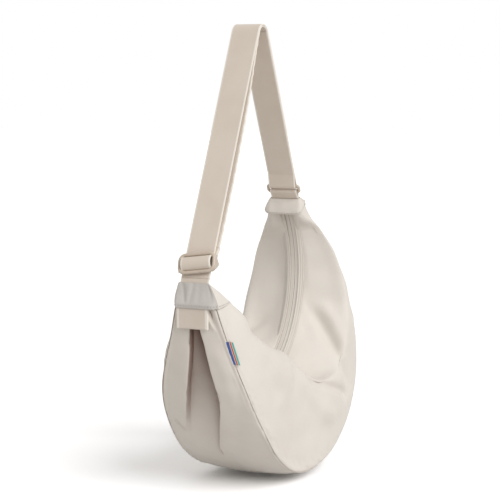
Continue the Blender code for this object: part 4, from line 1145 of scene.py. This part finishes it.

# Webbing tabs: a doubled piece of webbing sewn in under each cap, hanging down the gusset.
# The far one reaches up to the moved cap.
TAB_LENGTH = 0.0276
TAB_WIDTH = 0.0415
TAB_THICKNESS = 2 * WEBBING_THICKNESS + LAYER_GAP
TAB_GAP = 0.0004
FAR_TAB_ARC = math.degrees(0.029 / far_outer)
FAR_TAB_LEAN = math.radians(-3.0)
foot_outer, _, _, foot_bulge = body_at(FAR_ANGLE - FAR_TAB_ARC)
wall = unit(side_point(FAR_ANGLE - FAR_TAB_ARC, crowned(foot_outer, foot_bulge, 0.0))
            - side_point(FAR_ANGLE, far_outer))
lean_cos, lean_sin = math.cos(FAR_TAB_LEAN), math.sin(FAR_TAB_LEAN)
down_far = np.array((wall[0] * lean_cos + wall[1] * lean_sin,
                     -wall[0] * lean_sin + wall[1] * lean_cos))
for name, angle, down in (("near", NEAR_ANGLE, np.array((0.0, -1.0))),
                          ("far", FAR_ANGLE, down_far)):
    out = side_point(angle, 1.0) - ZIP_CENTRE
    square = unit(out - down * (out @ down))
    top = side_point(angle, float(body_at(angle)[0])) - down * TAB_GAP
    inside_line = top + square * (TAB_GAP + WEBBING_THICKNESS / 2)
    turn = inside_line + square * (LAYER_PITCH / 2) + down * (TAB_LENGTH - TAB_THICKNESS / 2)
    if name == "near":
        tucked = inside_line - down * 0.004
    else:
        tucked = (side_point(BODY_END + 1.2, float(body_at(BODY_END)[0]))
                  + square * (0.0006 + WEBBING_THICKNESS / 2))
    path = [tucked, inside_line,
            *[turn + (down * math.sin(t) - square * math.cos(t)) * LAYER_PITCH / 2
              for t in np.linspace(0.0, math.pi, 14)],
            inside_line + square * LAYER_PITCH, tucked + square * LAYER_PITCH]
    tab = webbing(name + "_doubled_tab", path, step=0.0009, width=TAB_WIDTH, seed=37,
                  cad=name + "_webbing_tab")
    bends(tab)

# End caps: a folded piece of nylon over each end of the crescent. Its hem is turned under
# and topstitched over body and tab, and its upper edge is turned in where the webbing
# comes out.
# The caps' outward faces are painted darker and greyer than the bone nylon, as shade; their other
# faces take the bone nylon.
CAP_SHADED_NYLON = nylon("cap_shaded_nylon", (0.610, 0.582, 0.553), (0.582, 0.550, 0.520))
# The hem's thread is painted dark: it stands in for the shade in the stitch holes along the hem.
SHADED_HEM_THREAD = thread("shaded_hem_thread", (0.560, 0.530, 0.500))
HEM_OVERLAP = 0.0010
HEM_SHARE = 0.1
HEM_STITCH_SHARE = 0.105
CAP_CLEARANCE = 0.0008
CAP_CORNER = 0.003
CAP_SWELL = 0.0014
TAB_RAISE = 0.0041
SLOT_CLEARANCE = 0.0007
# The cap from inside its hem, round the fold, up its face and in at the top: height as a
# share of the way to the webbing, and offset from the body in millimetres.
CAP_PROFILE = np.array((
    (0.24, 0.25), (0.10, 0.25), (0.03, 0.25), (0.0, 0.32), (-0.02, 0.55), (-0.03, 0.85),
    (-0.02, 1.15), (0.0, 1.38), (0.02, 1.45), *[(h, 1.45) for h in np.linspace(0.045, 0.98, 44)],
    (1.0, 1.05), (1.012, 0.92), (1.02, 0.60), (1.02, 0.25), (1.01, -0.05), (0.99, -0.20),
    (0.94, -0.20), (0.86, -0.20)))
# Pulls in the cap's face: across at its hem and at its top, width and height.
CAP_PULLS = ((0.0079, 0.0148, 0.0022, -0.0011), (0.0040, 0.0, 0.0026, -0.0008),
             (-0.0090, -0.0080, 0.0034, -0.0005), (0.0100, 0.0050, 0.0030, 0.0004))


def cap_loop(centre, across, half_a, half_b, corners, offset, raised=0.0):
    """A loop round a cap, half_a along an (x, z) direction and half_b along Y. Where it
    goes over the tab it can be raised."""
    places, facing = round_box(half_a + offset, half_b + offset,
                               [corner + offset for corner in corners], 8, 26)
    over_tab = 1 - eased(np.abs(places[:, 1]), TAB_WIDTH / 2 + 0.0006, TAB_WIDTH / 2 + 0.0036)
    places[:, 0] += np.where(facing[:, 0] > 0.9, raised * over_tab, 0.0)
    x, z = centre[:, None] + across[:, None] * places[:, 0]
    return np.stack((x, places[:, 1], z), -1), places, facing


def body_loop(angle, outer, inner, half, *facts):
    """A loop of the cap round the body at an angle."""
    loop, places, facing = cap_loop(
        side_point(angle, (outer + inner) / 2), unit(side_point(angle, 1.0) - ZIP_CENTRE),
        (outer - inner) / 2, half, *facts)
    loop[:, 1] = hung(angle, loop[:, 1])
    return loop, places, facing


heights, offsets = CAP_PROFILE[:, :1], CAP_PROFILE[:, 1:]
is_face = offsets > 1.0
for name, angle, away, tip, normal, layers, twist, inner_corner in (
        ("near", NEAR_ANGLE, -1, near_exit, near_normal, 1, near_twist, 0.003),
        ("far", BODY_END, 1, far_exit, far_side, 2, far_twist, 0.006)):
    slot_depth = (layers * LAYER_PITCH - LAYER_GAP) / 2 + SLOT_CLEARANCE
    outer, half, rise, _ = (float(value) for value in body_at(angle))
    inner = ZIP_RADIUS - rise
    rim_angle = angle + away * math.degrees(CAP_CLEARANCE / inner)
    hem_angle = angle - away * math.degrees(HEM_OVERLAP / (outer + inner) * 2)
    hem_outer, hem_half, hem_rise, _ = (float(value) for value in body_at(hem_angle))
    loops = []
    for height, offset in CAP_PROFILE * (1.0, 0.001):
        facts = (CAP_CORNER, inner_corner), offset, TAB_RAISE * (1 - eased(height, 0.10, 0.75))
        hem = body_loop(hem_angle, hem_outer, ZIP_RADIUS - hem_rise, hem_half, *facts)[0]
        rim, places, facing = body_loop(rim_angle, outer, inner, half, *facts)
        slot = cap_loop(tip, normal, slot_depth, STRAP_WIDTH / 2 + SLOT_CLEARANCE,
                        (slot_depth / 2,) * 2, offset)[0]
        if height < HEM_SHARE:
            loop = hem + (rim - hem) * height / HEM_SHARE
        else:
            loop = rim + (slot - rim) * (height - HEM_SHARE) / (1 - HEM_SHARE)
        swell = CAP_SWELL * math.sin(math.pi * min(max(height, 0.0), 1.0)) * (offset > 0.001)
        loops.append(loop + unit(loop - loop.mean(axis=0)) * swell)
    grid = np.stack(loops)
    pulls = sum(deep * bell(grid[..., 1] - low - (high - low) * heights, wide)
                for low, high, wide, deep in CAP_PULLS)
    fade = eased(heights, 0.12, 0.35) * (1 - 0.3 * eased(heights, 0.8, 1.0))
    front = facing[:, 0] > 0.2
    groove = bell(places[:, 1] + half - 0.0032, 0.0009) * front
    groove += bell(places[:, 0] - (outer - inner) / 2 + 0.0030, 0.0009) * (facing[:, 1] < -0.5)
    lift = is_face * (
        pulls * fade * (facing[:, 0] > 0.9) - 0.0005 * bell(heights - 0.115, 0.028)
        - 0.0009 * groove * (1 - eased(heights, 0.9, 1.0))
        + 0.0009 * bell(places[:, 1] + half, 0.0016) * front * (1 - eased(heights, 0.85, 1.0))
        + 0.00035 * ripple(grid, 0.020, 41) * eased(heights, 0.1, 0.3))
    outward = face_normals(grid, True)
    from_middle = grid - grid.mean(axis=1, keepdims=True)
    sign = 1.0 if (from_middle * outward)[20:40].sum() > 0 else -1.0
    grid += outward * (sign * lift)[..., None]
    cap = cloth(name + "_cap_cover", grid, CAP_SHADED_NYLON, wrap=True, flip=sign < 0, body=None,
                slot="bone_nylon", cad=name + "_end_cap")
    # Painted shade: faces turned outwards keep the darker cap nylon, the rest take the bone nylon.
    cap.data.materials.append(BONE)
    for polygon in cap.data.polygons:
        outwards = np.mean([facing[number % len(facing), 0] for number in polygon.vertices])
        polygon.material_index = int(outwards < 0.66)
    bends(cap)
    row = int(np.argmin(np.abs(heights - HEM_STITCH_SHARE) + ~is_face))
    line, up = (np.concatenate([rows[row], rows[row, :1]])
                for rows in (grid, face_normals(grid, True) * sign))
    bends(stitches(name + "_hem_stitch", line, up, SHADED_HEM_THREAD, None))

# Side ribbon: a short woven ribbon folded double and caught in the front seam near the near
# end, in plain lengthwise stripes.
RIBBON_ANGLES = (181.5, 190.9)
RIBBON_THICKNESS = 0.0004
STRIPE = 0.0009
TEAL, CREAM = (0.10, 0.50, 0.46), (0.85, 0.80, 0.68)
RED, BLUE = (0.80, 0.10, 0.05), (0.05, 0.13, 0.48)
# The folded ribbon's outline: rise off the seam and reach out of it.
RIBBON_LINE = ((0.0, -0.004), (0.0, 0.0), (0.0, 0.002), (0.0, 0.0040), (0.0001, 0.0047),
               (0.00045, 0.0051), (0.0009, 0.0051), (0.0013, 0.0047), (0.0014, 0.0040),
               (0.0014, 0.002), (0.0014, 0.0), (0.0014, -0.004))


def striped(name, colours):
    """A folded ribbon woven in plain lengthwise stripes, counted from its fold."""
    made, add, shader = surface(name)
    threads = noise(add, 1800.0, 2.0)
    from_fold = maths(add, "ABSOLUTE", add("SeparateXYZ", add("UVMap", uv_map="cloth")))
    stripes = add("ValToRGB", ranged(add, from_fold, 0.0, STRIPE * len(colours)))
    ramp = stripes.node.color_ramp
    ramp.interpolation = "CONSTANT"
    for number, colour in enumerate(colours):
        place = number / len(colours)
        stop = ramp.elements[number] if number < 2 else ramp.elements.new(place)
        stop.position, stop.color = place, (*colour, 1.0)
    dress(shader, Roughness=0.55, Sheen_Weight=0.2, Normal=bumps(add, threads, 0.4, 0.00015),
          Base_Color=mixed(add, stripes, (0.72, 0.72, 0.72), threads, "MULTIPLY"))
    return made


RIBBON = striped("woven_ribbon", (TEAL, TEAL, CREAM, RED, RED, CREAM, BLUE, BLUE))
angles = np.linspace(*RIBBON_ANGLES, 40)
outer, half, _, _ = body_at(angles)
grid = np.stack([bag_point(angles, outer - 0.0005 + rise, -(half + out))
                 for rise, out in RIBBON_LINE], 1)
droop = np.clip(np.array(RIBBON_LINE)[:, 1] / 0.007, 0, 1)
grid[..., 2] += 0.0004 * np.sin(np.linspace(0, 5.0, 40))[:, None] * droop
cloth("seam_ribbon", grid, RIBBON, RIBBON_THICKNESS, cad="side_ribbon")
